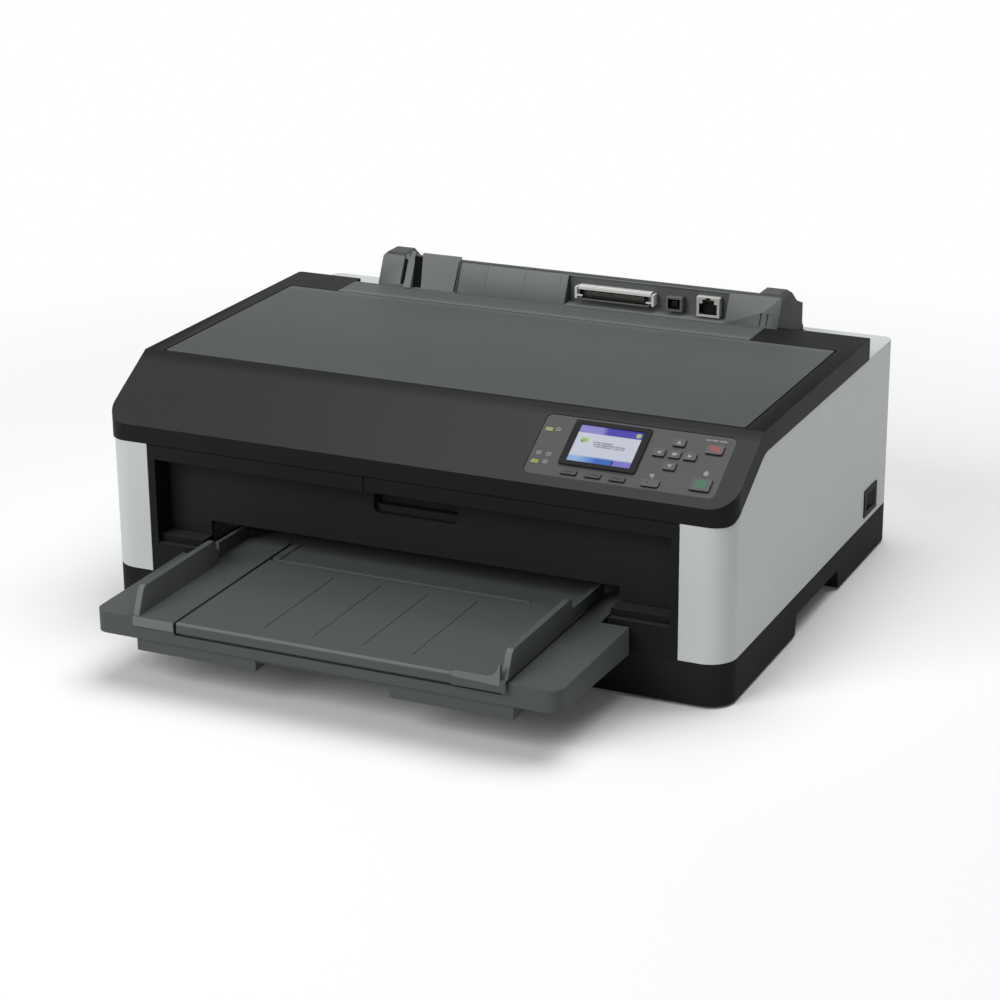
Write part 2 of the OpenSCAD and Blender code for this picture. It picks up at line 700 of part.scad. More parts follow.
module edge_guide_left() {
    low = deck_z + clear;
    front = -tray_reach;
    foot_end = -table_left - guide_foot_gap;
    x0 = -guide_left;
    tail_x = x0 - guide_jog + guide_t - 1;  // inner face of the low wall
    color(slate) seat() {
        along_x(x0, x0 + guide_t) polygon(guide_wall(low));
        along_x(tail_x - 3, tail_x) polygon([for (p = guide_tail(low)) [max(p.x, 2), p.y]]);
        // curved web that carries the wall out to the low wall
        translate([0, 0, low]) linear_extrude(table_z + 10 - low) polygon(concat(
            [for (i = [0 : 5]) [x0 + guide_t - (x0 + guide_t - tail_x) * (1 - cos(i * 36)) / 2, -14 + i * 3.4]],
            [for (i = [5 : -1 : 0]) [x0 - (x0 - tail_x + 3) * (1 - cos(i * 36)) / 2, -14 + i * 3.4]]));
        span([x0, foot_end], [front + 1.5, 3], [low, table_z]);
        span([tail_x - 2, foot_end], [2, 44], [low, table_z]);
        span([x0, foot_end], [front, front + 1.5], [table_z - 7, table_z]);
    }
}

module edge_guide_right() {
    low = table_z + clear;
    lip = -tray_reach - guide_lip;
    foot_start = guide_right - 39;
    inner = guide_right - guide_t;
    color(slate) seat() {
        along_x(inner, guide_right) polygon(guide_wall(low));
        difference() {
            along_x(inner, guide_right - 1) polygon(guide_tail(low));
            // notch that passes over the table's rib
            span([inner - 1, guide_right], [bed_step - 1.4, bed_step + 3.2], [low - 1, table_z + 1.1]);
        }
        span([foot_start, guide_right], [lip, bed_step - 1.4], [low, low + 1.2]);
        span([foot_start, guide_right], [lip, -tray_reach - clear], [table_z - 7, low + eps]);
        // curled lip along the foot's front, sweeping up into the wall
        translate([0, lip + 3, 0]) rotate([90, 0, 0]) linear_extrude(3) polygon(concat(
            [[foot_start, low], [foot_start, low + 1.6], [foot_start + 4, low + 2.8], [inner - 9, low + 2.8]],
            [for (i = [1 : 5]) [inner - 9 + 9 * sin(i * 18), low + 11.8 - 9 * cos(i * 18)]],
            [[inner + 1, low + 11.8], [inner + 1, low]]));
    }
}

// ---- control panel ----

panel_t = 2.6;                         // plate under the keys
panel_sink = 0.4;                      // plate below the slope
cp_x1 = half_w - cp_in;
act_x = cp_x1 - 12.6;                  // middle of the stop and start keys
nav_x = act_x - 2 * key_pitch_x - 3.7; // middle of the arrow keys
lcd_x = nav_x - key_pitch_x - 10.4 - lcd_w / 2;
cp_x0 = lcd_x - lcd_w / 2 - lamp_room;
low_s = cp_s0 + 5.2;                   // row of the function keys
lcd_at = [lcd_x, low_s + 6.1 + lcd_h / 2];
cp_s1 = lcd_at.y + lcd_h / 2 + cp_above;
nav_s = lcd_at.y + 1.6;

// Middle and size of each button: X, up the slope, width, height
function key(n) =
    n == "up" ? [nav_x, nav_s + key_pitch_s, 8.6, 6.4]
    : n == "down" ? [nav_x, nav_s - key_pitch_s, 8.6, 6.4]
    : n == "left" ? [nav_x - key_pitch_x, nav_s, 8.6, 6.4]
    : n == "right" ? [nav_x + key_pitch_x, nav_s, 8.6, 6.4]
    : n == "ok" ? [nav_x, nav_s, 8.6, 6.4]
    : n == "stop" ? [act_x, nav_s + 8.8, 12, 8] : n == "start" ? [act_x, low_s + 5.2, 14, 10.5]
    : n == "back" ? [nav_x - 8.2, low_s + 0.4, 12.5, 6]
    : [lcd_x + (n == "f1" ? -1 : n == "f2" ? 0 : 1) * 0.315 * lcd_w, low_s, 11.5, 4.2];
KEYS = ["up", "down", "left", "right", "ok", "stop", "start", "back", "f1", "f2", "f3"];
LEDS = [[cp_x0 + 5.7, nav_s + 7.5], [cp_x0 + 5.7, low_s + 5.8]];   // middles of the two lamps
led_size = [5.5, 3.2];

module key_plan(n, grow) {
    k = key(n);
    pad(k[0] - k[2] / 2 - grow, k[1] - k[3] / 2 - grow, k[0] + k[2] / 2 + grow,
        k[1] + k[3] / 2 + grow, 1.2 + grow);
}

module button(n) {
    seat() on_slope() {
        translate([0, 0, -panel_sink - panel_t - 1.2]) linear_extrude(panel_t + 1.2 + key_travel + 0.3) key_plan(n, 0);
        // collar that holds the button under the plate
        translate([0, 0, -panel_sink - panel_t - 1.2]) linear_extrude(1.2) key_plan(n, 0.8);
    }
}

module control_panel() {
    color([0.36, 0.36, 0.36]) seat() on_slope() difference() {
        union() {
            translate([0, 0, -panel_sink - panel_t]) linear_extrude(panel_t)
                pad(cp_x0 + clear, cp_s0 + clear, cp_x1 - clear, cp_s1 - clear, 5 - clear);
            // edge that laps under the top case
            translate([0, 0, -top_wall - 1.6]) linear_extrude(1.6) difference() {
                pad(cp_x0 - 3, cp_s0 - 1.5, cp_x1 + 3, cp_s1 + 1.5, 5);
                pad(cp_x0 + 3, cp_s0 + 1.2, cp_x1 - 2.5, cp_s1 - 3, 3);
            }
        }
        translate([0, 0, -8]) linear_extrude(12) {
            for (n = KEYS) key_plan(n, key_gap);
            for (p = LEDS) translate(p) square(led_size, center = true);
            translate(lcd_at) square([lcd_w - 4, lcd_h - 4], center = true);
        }
    }
}

module lcd_bezel() {
    color([0.04, 0.04, 0.05]) seat() on_slope() difference() {
        translate([0, 0, -panel_sink]) linear_extrude(1.6) translate(lcd_at)
            pad(-lcd_w / 2, -lcd_h / 2, lcd_w / 2, lcd_h / 2, 1.5);
        translate([0, 0, -2]) linear_extrude(5) translate(lcd_at)
            square([lcd_w - 9.5, lcd_h - 7], center = true);
    }
}

module lcd_screen() {
    color([0.85, 0.87, 0.97]) seat() on_slope() {
        translate([0, 0, -panel_sink - panel_t]) linear_extrude(panel_t) translate(lcd_at)
            square([lcd_w - 4, lcd_h - 4], center = true);
        translate([0, 0, -panel_sink - eps]) linear_extrude(0.7) translate(lcd_at)
            square([lcd_w - 9.5, lcd_h - 7], center = true);
    }
}

module led_lenses() {
    color([0.75, 0.85, 0.15]) seat() on_slope()
        translate([0, 0, -panel_sink - panel_t]) linear_extrude(panel_t + 0.3)
            for (p = LEDS) translate(p) square(led_size, center = true);
}

module button_up() { color(slate) button("up"); }
module button_down() { color(slate) button("down"); }
module button_left() { color(slate) button("left"); }
module button_right() { color(slate) button("right"); }
module button_ok() { color(slate) button("ok"); }
module button_stop() { color([0.6, 0.3, 0.3]) button("stop"); }
module button_start() { color([0.3, 0.45, 0.38]) button("start"); }
module button_back() { color(slate) button("back"); }
module button_f1() { color(case_dark) button("f1"); }
module button_f2() { color(case_dark) button("f2"); }
module button_f3() { color(case_dark) button("f3"); }

// ---- rear guide and connectors ----

rear = body_d - 7;                     // rear wall of the rear guide
// Y of the guide's leaning face at a height above the desk
function face_at(z) = rear_face + rear_lean * max(0, z - case_h) / rear_up;

module rear_guide() {
    face = [[rear_face, ledge_z], [rear_face, case_h]];
    side = concat(face, [[face_at(rear_top - 1), rear_top - 1], [face_at(rear_top) + 1, rear_top],
                         [face_at(rear_top) + 4, rear_top], [rear, rear_top - 17], [rear, ledge_z]]);
    ear = concat(face, [[face_at(ear_top - 1.5), ear_top - 1.5], [face_at(ear_top) + 1, ear_top],
                        [face_at(ear_top) + 18, ear_top], [face_at(ear_top) + 23, ear_top - 4],
                        [rear, ledge_z + 16], [rear, ledge_z]]);
    color([0.42, 0.44, 0.44]) seat() difference() {
        union() {
            along_x(-rear_left, rear_right) polygon(side);
            along_x(-rear_left, -rear_left + ear_w) polygon(ear);
            along_x(rear_right - ear_w, rear_right) polygon(ear);
            // foot that stands on the casing's rear edge
            along_x(-rear_left, rear_right) polygon([
                [rear, ledge_z], [rear, ledge_z + 6], [body_d - 4, ledge_z + 2], [body_d - 4, ledge_z]]);
            rear_chute();
        }
        // hollow body, open below
        along_x(-rear_left + wall, bay_x0 - wall) rear_hollow();
        along_x(bay_x0 - wall / 2, bay_x1 + wall / 2) bay_hollow();
        along_x(bay_x1 + wall, rear_right - wall) rear_hollow();
        // connector bay, upright at the back of the leaning face
        span([bay_x0, bay_x1], [rear_face - 1, rear_face + bay_d], [case_h, rear_top - 1.6]);
        // seams between the panel's sections
        for (x = [bay_x0 - 69, bay_x0 - 36, bay_x0 - 6]) face_slot(x, 0.6, case_h, rear_top, 0.4);
        // slot beside the left ear, and two small latch slots in the right one
        face_slot(-rear_left + ear_w + 2.2, 3.6, case_h + 0.5, rear_top + 1, 2);
        for (x = [rear_right - 14.2, rear_right - 9]) face_slot(x, 1.5, case_h + 0.5, case_h + 10, 1.4);
        // outer corners of the ears taken off
        for (s = [-1, 1]) translate([s > 0 ? rear_right : -rear_left, 0, ear_top]) rotate([0, 45, 0])
            translate([-2.2, rear_face, -2.2]) cube([4.4, rear, 4.4]);
    }
}

// Upright slot in the leaning face, of width w and depth d
module face_slot(x, w, z0, z1, d) {
    along_x(x - w / 2, x + w / 2) polygon([
        [face_at(z0) - 1, z0], [face_at(z0) + d, z0], [face_at(z1) + d, z1], [face_at(z1) - 1, z1]]);
}

module rear_hollow() {
    top = rear_top - 2 * wall;
    polygon([[rear_face + wall, 0], [rear_face + wall, case_h], [face_at(top) + wall, top],
             [face_at(top) + wall + 2, top], [rear - wall, rear_top - 18 - wall], [rear - wall, 0]]);
}

module bay_hollow() {
    y0 = rear_face + bay_d + wall;
    polygon([[y0, 0], [y0, rear_top - 2.4 * wall], [y0 + 2, rear_top - 2.4 * wall],
             [rear - wall, rear_top - 18 - wall], [rear - wall, 0]]);
}

// Sheet that leads paper from the rear slot down to the rear rollers
module rear_chute() {
    run = rear_face - rear_roll_y;
    pts = [[rear_face, case_h], [rear_face, case_h - 41], [rear_face - 0.12 * run, table_z + 52],
           [rear_face - 0.4 * run, table_z + 25], [rear_face - 0.68 * run, table_z + 11]];
    along_x(-chute_half, chute_half)
        polygon(concat(pts, [for (i = [4 : -1 : 0]) pts[i] + [1.6, i == 4 ? -0.9 : i == 0 ? 0 : -1]]));
}

// Sliding edge guide: a plate that follows the leaning face, and a fin beside it
module rear_edge_guide() {
    top = rear_top + 3;
    fin_x = -rear_left + ear_w + 4.5;
    color([0.42, 0.44, 0.44]) seat() {
        difference() {
            along_x(fin_x, fin_x + 46) face_plate(case_h - 9, top, 2.2);
            // gap that frees the fin
            span([fin_x + 4, fin_x + 10.5], [rear_face - 5, rear_face + 20], [case_h + 7, top + 1]);
        }
        // gusset that stands out from the fin
        along_x(fin_x, fin_x + 4) polygon([
            [face_at(case_h + 1) - clear - 1, case_h + 0.6], [rear_face - 6.5, case_h + 0.6],
            [rear_face - 5, case_h + 4], [face_at(top) - clear - 1, top - 1]]);
    }
}

// Plate in front of the leaning face, running clearance away, of thickness t
module face_plate(z0, z1, t) {
    polygon([[rear_face - clear - t, z0], [rear_face - clear, z0], [rear_face - clear, case_h],
             [face_at(z1) - clear, z1], [face_at(z1) - clear - t, z1], [rear_face - clear - t, case_h]]);
}

// Ends of the three sockets along X
par_x = [bay_x0 + 10, bay_x0 + 71];
usb_x = [par_x[1] + port_gap, par_x[1] + port_gap + 13];
lan_x = [usb_x[1] + port_gap, usb_x[1] + port_gap + 18.5];
bay_x1 = lan_x[1] + 6.5;

// Shielded socket on the bay's back wall: outer size, opening size, depth of both
module socket(x0, x1, z0, z1, edge, depth, out) {
    y1 = rear_face + bay_d;
    difference() {
        span([x0, x1], [y1 - out, y1], [z0, z1]);
        span([x0 + edge, x1 - edge], [y1 - out - 1, y1 - out + depth], [z0 + edge, z1 - edge]);
    }
}

module parallel_port() {
    y1 = rear_face + bay_d;
    z0 = case_h + 4.2;
    color(steel) seat() translate([par_x[0], 0, 0]) {
        difference() {
            along_z_plate(0, 61, z0, z0 + 11, y1 - 7, y1, 2.4);
            along_z_plate(1.4, 59.6, z0 + 1.4, z0 + 9.6, y1 - 8, y1 - 2, 1.6);
        }
        // contact tongue
        span([6, 55], [y1 - 6, y1 - 2 + eps], [z0 + 4.3, z0 + 6.7]);
        // wire clips at both ends
        for (x = [-2.4, 61.6]) span([x, x + 1.8], [y1 - 8, y1], [z0 + 1, z0 + 10]);
        for (x = [-2.4, 57]) span([x, x + 6.4], [y1 - 8, y1 - 7], [z0 + 3, z0 + 4.2]);
    }
}

// D-shaped shell seen from the front, narrower at the bottom by d at each end
module along_z_plate(x0, x1, z0, z1, y0, y1, d) {
    translate([0, y1, 0]) rotate([90, 0, 0]) linear_extrude(y1 - y0)
        polygon([[x0 + d, z0], [x1 - d, z0], [x1, z0 + 3], [x1, z1], [x0, z1], [x0, z0 + 3]]);
}

module usb_port() {
    color(steel) seat() {
        socket(usb_x[0], usb_x[1], case_h + 3.2, case_h + 14.2, 1.6, 5, 6.4);
        span([usb_x[0] + 4, usb_x[0] + 9], [rear_face + bay_d - 5, rear_face + bay_d - 1],
             [case_h + 7.2, case_h + 10.2]);
    }
}

module lan_port() {
    color([0.75, 0.74, 0.7]) seat()
        socket(lan_x[0], lan_x[1], case_h + 1.6, case_h + 17.1, 2, 5.2, 6.4);
}

// ---- power switch ----

switch_mid = [(switch_y[0] + switch_y[1]) / 2, (switch_z[0] + switch_z[1]) / 2];
rocker_x = panel_w - 4;                // pivot of the rocker
rocker_tilt = 8;                       // swing to each side of level

module switch_bezel() {
    color(black) seat() difference() {
        union() {
            span([panel_w - 20, half_w + 0.4], [switch_y[0] + clear, switch_y[1] - clear],
                 [switch_z[0] + clear, switch_z[1] - clear]);
            span([panel_w, half_w + 0.4], [switch_y[0] - 1.2, switch_y[1] + 1.2],
                 [switch_z[0] - 1.2, switch_z[1] + 1.2]);
        }
        span([panel_w - 15, half_w + 1], [switch_y[0] + switch_rim, switch_y[1] - switch_rim],
             [switch_z[0] + switch_rim, switch_z[1] - switch_rim]);
        translate([rocker_x, switch_mid.x, switch_z[0] + 1]) cylinder(r = 1.5 + fit, h = switch_z[1] - switch_z[0] - 2);
    }
}

module power_rocker() {
    len = switch_y[1] - switch_y[0] - 2 * switch_rim - 1.6;
    top = half_w + 0.9 - rocker_x - len / 2 * sin(rocker_tilt);   // keeps the raised end near the bezel
    color([0.07, 0.07, 0.07]) seat() translate([rocker_x, switch_mid.x, 0]) rotate(-rocker_tilt) {
        translate([0, 0, switch_z[0] + switch_rim + 0.4])
            linear_extrude(switch_z[1] - switch_z[0] - 2 * switch_rim - 0.8)
                polygon([[top, -len / 2], [top - 1.5, 0], [top, len / 2], [-1, len / 2 - 1.5], [-4, 0],
                         [-1, -len / 2 + 1.5]]);
        translate([0, 0, switch_z[0] + 1.4]) cylinder(r = 1.5, h = switch_z[1] - switch_z[0] - 2.8);
    }
}

// ---- chassis ----

module chassis_plate() {
    color(steel) seat() difference() {
        span([-frame_half - 4, frame_half + frame_t], plate_y, [plate_z, plate_z + plate_t]);
        for (x = [-140 : 40 : 140])
            span([x - 12, x + 12], [front_roll_y - 22, rear_roll_y - 10], [plate_z - 1, plate_z + plate_t + 1]);
    }
}

// Side outline of a frame plate
function frame_side() = let (z0 = plate_z + plate_t, y0 = front_roll_y - 32, y1 = body_d - 39) [
    [y0, z0], [y0, shaft_z + 12], [y0 + 12, shaft_z + 44], [y0 + 32, shaft_z + 54],
    [shaft_y + 13, shaft_z + 54], [belt_y + 21.7, shaft_z + 36], [y1 - 18, shaft_z + 20],
    [y1, shaft_z - 4], [y1, z0]];
frame_window = [[rear_roll_y + 36, 30], [rear_roll_y + 36, shaft_z + 8], [body_d - 67, shaft_z],
                [body_d - 67, 30]];

module frame_holes() {
    for (h = [[front_roll_y, roll_z, journal_r], [rear_roll_y, roll_z, journal_r],
              [front_roll_y, pinch_z, pinch_journal_r], [rear_roll_y, pinch_z, pinch_journal_r],
              [shaft_y, shaft_z, shaft_r]])
        translate([0, h[0], h[1]]) rod_x(h[2] + fit, -half_w, half_w);
}

module frame_left() {
    color(steel) seat() difference() {
        union() {
            along_x(-frame_half - frame_t, -frame_half) polygon(frame_side());
            // foot flange on the chassis plate
            span([-frame_half - frame_t, -frame_half + 12], [front_roll_y - 28, front_roll_y - 6],
                 [plate_z + plate_t, plate_z + plate_t + 2]);
        }
        frame_holes();
        along_x(-frame_half - frame_t - 1, -frame_half + 1) polygon(frame_window);
    }
}

module frame_right() {
    stud_top = gear_x + gear_t + 1;
    color(steel) seat() difference() {
        union() {
            along_x(frame_half, frame_half + frame_t) polygon(frame_side());
            span([frame_half - 12, frame_half + frame_t], [front_roll_y - 28, front_roll_y - 6],
                 [plate_z + plate_t, plate_z + plate_t + 2]);
            // stud for the idler gear
            translate([0, idler_y, roll_z]) rod_x(journal_r, frame_half, stud_top);
            // bent tab and stud for the idler pulley
            span([pulley_x - 12, frame_half + eps], [belt_front + clear, belt_y + 12], [belt_z - 4, belt_z - 2]);
            translate([pulley_x, belt_y, belt_z - 3]) cylinder(r = stud_r, h = belt_w + 5);
        }
        frame_holes();
        along_x(frame_half - 1, frame_half + frame_t + 1) polygon(frame_window);
    }
}

module carriage_shaft() {
    color([0.82, 0.83, 0.85]) seat() translate([0, shaft_y, shaft_z])
        rod_x(shaft_r, -frame_half - frame_t - 3, frame_half + frame_t + 1);
}

module carriage_rail() {
    color(steel) seat() {
        span([-frame_half, frame_half], [rail_y, rail_y + 12], [rail_z, rail_z + 1.5]);
        span([-frame_half, frame_half], [rail_y, rail_y + 1.5], [rail_z - 12, rail_z + eps]);
    }
}

module carriage() {
    c = carriage_half;
    color([0.15, 0.15, 0.16]) seat() difference() {
        union() {
            // housing round the shaft
            span([-c, c], [shaft_y - 13, shaft_y + 13], [shaft_z - 14, shaft_z + 14]);
            // ring that holds the print head
            span([-24, 24], [head_y - 14, shaft_y - 13 + eps], [shaft_z - 8, shaft_z + 8]);
            // upright and slider on the rail
            span([-24, 24], [head_y - 14, head_y - 11], [shaft_z - 8, rail_z + 5]);
            span([-12, 12], [rail_y + 3, head_y - 11], [rail_z + 1.5 + clear, rail_z + 5]);
            // clamp beside the belt
            span([-14, 14], [shaft_y + 9, shaft_y + 13], [shaft_z + 13, belt_z + belt_w + 2]);
            span([-14, 14], [shaft_y + 9, belt_front - clear], [belt_z - 1, belt_z + belt_w + 2]);
        }
        translate([0, shaft_y, shaft_z]) rod_x(shaft_r + fit, -c - 1, c + 1);
        span([-17, 17], [head_y - 10, head_y + 10], [shaft_z - 20, shaft_z + 30]);
    }
}

module print_head() {
    nose_z = table_z + 2.8;
    color([0.55, 0.56, 0.58]) seat() {
        span([-17, 17], [head_y - 10, head_y + 10], [shaft_z - 10, shaft_z + 10]);
        span([-11, 11], [head_y - 7, head_y + 7], [shaft_z - 18, shaft_z - 10 + eps]);
        span([-7, 7], [head_y - 3, head_y + 3], [nose_z, shaft_z - 18 + eps]);
        // cooling fins
        span([-16, 16], [head_y - 9, head_y + 9], [shaft_z + 10 - eps, shaft_z + 14]);
        for (i = [0 : 6])
            span([-16 + i * 5, -14 + i * 5], [head_y - 9, head_y + 9], [shaft_z + 14 - eps, shaft_z + 44]);
    }
}

// Wide ribbon cartridge across the machine, with the ribbon held under the head
module ribbon_cartridge() {
    half = frame_half - cart_end;
    low = table_z + 0.9;
    arm = [[cart_y[0] + 10, cart_z + cart_h], [cart_y[1], cart_z + cart_h], [cart_y[1], cart_arm_z],
           [head_y + 7, table_z + 15], [head_y + 7, low], [head_y - 7, low],
           [head_y - 7, table_z + 7], [cart_y[1] - 6, table_z + 17], [cart_y[0] + 10, table_z + 47]];
    color([0.09, 0.09, 0.1]) seat() difference() {
        union() {
            translate([0, 0, cart_z]) linear_extrude(cart_h)
                pad(-half - eps, cart_y[0], half + eps, cart_y[1], 8);
            for (s = [-1, 1]) along_x(s > 0 ? half : -frame_half, s > 0 ? frame_half : -half) polygon(arm);
            span([-half - 1, half + 1], [head_y - 6, head_y + 6], [low + 0.1, low + 0.6]);
            // lid of the cartridge
            translate([0, 0, cart_z + cart_h - eps]) linear_extrude(1.2)
                pad(-half + 6, cart_y[0] + 3, half - 6, cart_y[1] - 3, 6);
        }
        translate([knob_x, knob_y, cart_z + 8]) cylinder(r = stud_r + fit, h = 20);
    }
}

module ribbon_knob() {
    z0 = cart_z + cart_h + 1.2 + clear;
    color([0.7, 0.72, 0.74]) seat() translate([knob_x, knob_y, 0]) {
        translate([0, 0, cart_z + 9]) cylinder(r = stud_r, h = z0 - cart_z - 8);
        translate([0, 0, z0]) difference() {
            cylinder(r = 9, h = 6);
            for (i = [0 : 15]) rotate(i * 22.5) translate([9.6, 0, -1]) cylinder(r = 1.3, h = 8);
        }
    }
}

// ---- carriage drive ----

// A plan of two round ends joined by straights
module loop_plan(r) {
    for (s = [-1, 1]) translate([s * pulley_x, 0]) circle(r = r);
    translate([-pulley_x, -r]) square([2 * pulley_x, 2 * r]);
}

module drive_belt() {
    color([0.12, 0.12, 0.12]) seat() translate([0, belt_y, belt_z]) linear_extrude(belt_w) difference() {
        loop_plan(pulley_r + clear + belt_t);
        loop_plan(pulley_r + clear);
    }
}

module pulley_body() {
    translate([0, 0, belt_z - 1.4]) cylinder(r = pulley_r + 1, h = 1.1);
    translate([0, 0, belt_z - 0.4]) cylinder(r = pulley_r, h = belt_w + 0.8);
    translate([0, 0, belt_z + belt_w + 0.3]) cylinder(r = pulley_r + 1, h = 1.1);
}

module motor_pulley() {
    color([0.85, 0.85, 0.85]) seat() translate([-pulley_x, belt_y, 0]) {
        pulley_body();
        translate([0, 0, belt_z - 10]) cylinder(r = stud_r - 0.5, h = 9);
    }
}

module idler_pulley() {
    color([0.85, 0.85, 0.85]) seat() translate([pulley_x, belt_y, 0]) difference() {
        pulley_body();
        translate([0, 0, belt_z - 3]) cylinder(r = stud_r + fit, h = belt_w + 8);
    }
}

module carriage_motor() {
    top = belt_z - 2;
    color([0.5, 0.5, 0.52]) seat() difference() {
        union() {
            translate([-pulley_x, belt_y, top - 38]) cylinder(r = motor_r, h = 36.5);
            span([-frame_half, -pulley_x + 20], [belt_front + clear, belt_y + 18], [top - 2, top]);
        }
        translate([-pulley_x, belt_y, top - 9]) cylinder(r = stud_r - 0.5 + fit, h = 12);
    }
}

// ---- paper feed ----

module platen() {
    y0 = front_roll_y + feed_r + 3;
    y1 = rear_roll_y - feed_r - 3;
    color([0.25, 0.25, 0.26]) seat() {
        along_x(-frame_half, frame_half) polygon([
            [y0, table_z - 7], [y0, table_z - 3.5], [y0 + 4, table_z - 1], [y1 - 4, table_z - 1],
            [y1, table_z - 3.5], [y1, table_z - 7]]);
        // anvil bar under the print line
        span([-frame_half + 14, frame_half - 14], [head_y - 7, head_y + 7], [table_z - 1 - eps, table_z - 0.5]);
    }
}

// Shaft with rubber drums along it
module drummed_shaft(r, core, journal, end) {
    rod_x(journal, -frame_half - frame_t - 1, end);
    rod_x(core, -frame_half + 1, frame_half - 1);
    for (x = [-140 : 56 : 140]) rod_x(r, x - 14, x + 14);
}

module feed_roller_front() {
    color([0.2, 0.2, 0.2]) seat() translate([0, front_roll_y, roll_z]) {
        drummed_shaft(feed_r, 5, journal_r, gear_x + gear_t + 1);
        gear_x_plate(roll_teeth, 0, 0);
    }
}

module feed_roller_rear() {
    color([0.2, 0.2, 0.2]) seat() translate([0, rear_roll_y, roll_z]) {
        drummed_shaft(feed_r, 5, journal_r, gear_x + gear_t + 1);
        gear_x_plate(roll_teeth, 180, 0);
    }
}

module pinch_roller_front() {
    color([0.3, 0.3, 0.3]) seat() translate([0, front_roll_y, pinch_z])
        drummed_shaft(pinch_r, 3.2, pinch_journal_r, frame_half + frame_t + 1);
}

module pinch_roller_rear() {
    color([0.3, 0.3, 0.3]) seat() translate([0, rear_roll_y, pinch_z])
        drummed_shaft(pinch_r, 3.2, pinch_journal_r, frame_half + frame_t + 1);
}

// Both rollers' gears point a tooth at the idler, so the idler, whose teeth are an even
// number, turns a gap to each
idler_turn = 180 / idler_teeth;

module idler_gear() {
    color([0.9, 0.9, 0.88]) seat() translate([0, idler_y, roll_z])
        gear_x_plate(idler_teeth, idler_turn, journal_r + fit);
}

// The pinion is turned so that its gap meets the idler's tooth on the line of centres
function idler_phase(a) = (a - idler_turn) * idler_teeth / 360;
pinion_turn = pinion_a + 180 + (180 + (idler_phase(pinion_a) - floor(idler_phase(pinion_a))) * 360)
              / pinion_teeth;

module motor_pinion() {
    color([0.8, 0.75, 0.5]) seat() translate([0, pinion_y, pinion_z]) {
        gear_x_plate(pinion_teeth, pinion_turn, 0);
        rod_x(2, gear_x, gear_x + gear_t + 5);
    }
}

module feed_motor() {
    x0 = gear_x + gear_t + 2;
    color([0.5, 0.5, 0.52]) seat() translate([0, pinion_y, pinion_z]) difference() {
        union() {
            rod_x(17.5, x0, x0 + 18);
            // posts back to the side frame
            for (a = [60, 150, 200]) rotate([a, 0, 0]) translate([0, 15, 0])
                rod_x(2, frame_half + frame_t, x0 + 1);
        }
        rod_x(2 + fit, x0 - 1, x0 + 6);
    }
}

// ---- electronics ----

module main_board() {
    z0 = plate_z + 10;
    // stand-offs on the chassis plate
    color(steel) seat() for (x = board_x + [6, -6], y = board_y + [6, -6])
        translate([x, y, plate_z + plate_t]) cylinder(r = 3, h = z0 + eps - plate_z - plate_t);
    color([0.1, 0.32, 0.18]) seat() {
        span(board_x, board_y, [z0, z0 + 1.6]);
        // chips and connectors from the board's front left corner, then from its front right
        for (c = [[36, 28, 24, 24, 2], [80, 36, 18, 18, 2], [16, 66, 40, 10, 10], [70, 78, 60, 8, 9]])
            translate([board_x[0] + c[0], board_y[0] + c[1], z0 + 1.6 - eps]) cube([c[2], c[3], c[4]]);
        for (c = [[76, 46, 30, 14, 2.5], [46, 16, 32, 9, 10]])
            translate([board_x[1] - c[0], board_y[0] + c[1], z0 + 1.6 - eps]) cube([c[2], c[3], c[4]]);
        for (i = [0 : 3]) translate([board_x[1] - 60 + i * 14, board_y[1] - 20, z0 + 1.6 - eps])
            cylinder(r = 5, h = 14);
    }
}

module power_supply() {
    z0 = plate_z + plate_t;
    rear = body_d - wall - 3;
    color(steel) seat() difference() {
        union() {
            difference() {
                span(psu_x, [psu_y, rear], [z0, z0 + psu_h]);
                span(psu_x + [1.5, -1.5], [psu_y + 1.5, rear - 1.5], [z0 + 1.5, z0 + psu_h - 1.5]);
            }
            // transformer and socket block inside the cage
            span([psu_x[0] + 40, psu_x[0] + 90], [psu_y + 20, psu_y + 60], [z0 + 1, z0 + 36]);
            span([inlet_x - 14, inlet_x + 14], [body_d - 20, rear], [inlet_z - 11, inlet_z + 11]);
            span([inlet_x - 14, inlet_x + 14], [rear - eps, body_d - 0.5], [inlet_z - 11, inlet_z + 11]);
        }
        // power inlet
        span([inlet_x - 11, inlet_x + 11], [body_d - 18, body_d + 1], [inlet_z - 8, inlet_z + 8]);
        // perforated side
        for (i = [0 : 8]) span([psu_x[0] - 1, psu_x[0] + 2], [psu_y + 8 + i * 11, psu_y + 12 + i * 11],
                               [z0 + 10, z0 + psu_h - 10]);
    }
    color(black) seat() for (x = [-5, 5]) span([inlet_x + x - 1, inlet_x + x + 1],
                                               [body_d - 18 - eps, body_d - 6], [inlet_z - 3, inlet_z + 3]);
    color(black) seat() span([inlet_x - 1, inlet_x + 1], [body_d - 18 - eps, body_d - 6], [inlet_z + 4, inlet_z + 7]);
}

// Screws up through the base into the chassis plate's feet
module screws() {
    color(steel) seat() for (s = [-1, 1], y = screw_y) translate([s * screw_x, y, 0]) {
        translate([0, 0, foot_h - 1.4]) difference() {
            cylinder(r = 3, h = 1.4);
            span([-2, 2], [-0.4, 0.4], [-1, 0.6]);
        }
        translate([0, 0, foot_h - eps]) cylinder(r = 1.5, h = plate_z - foot_h + eps);
    }
}

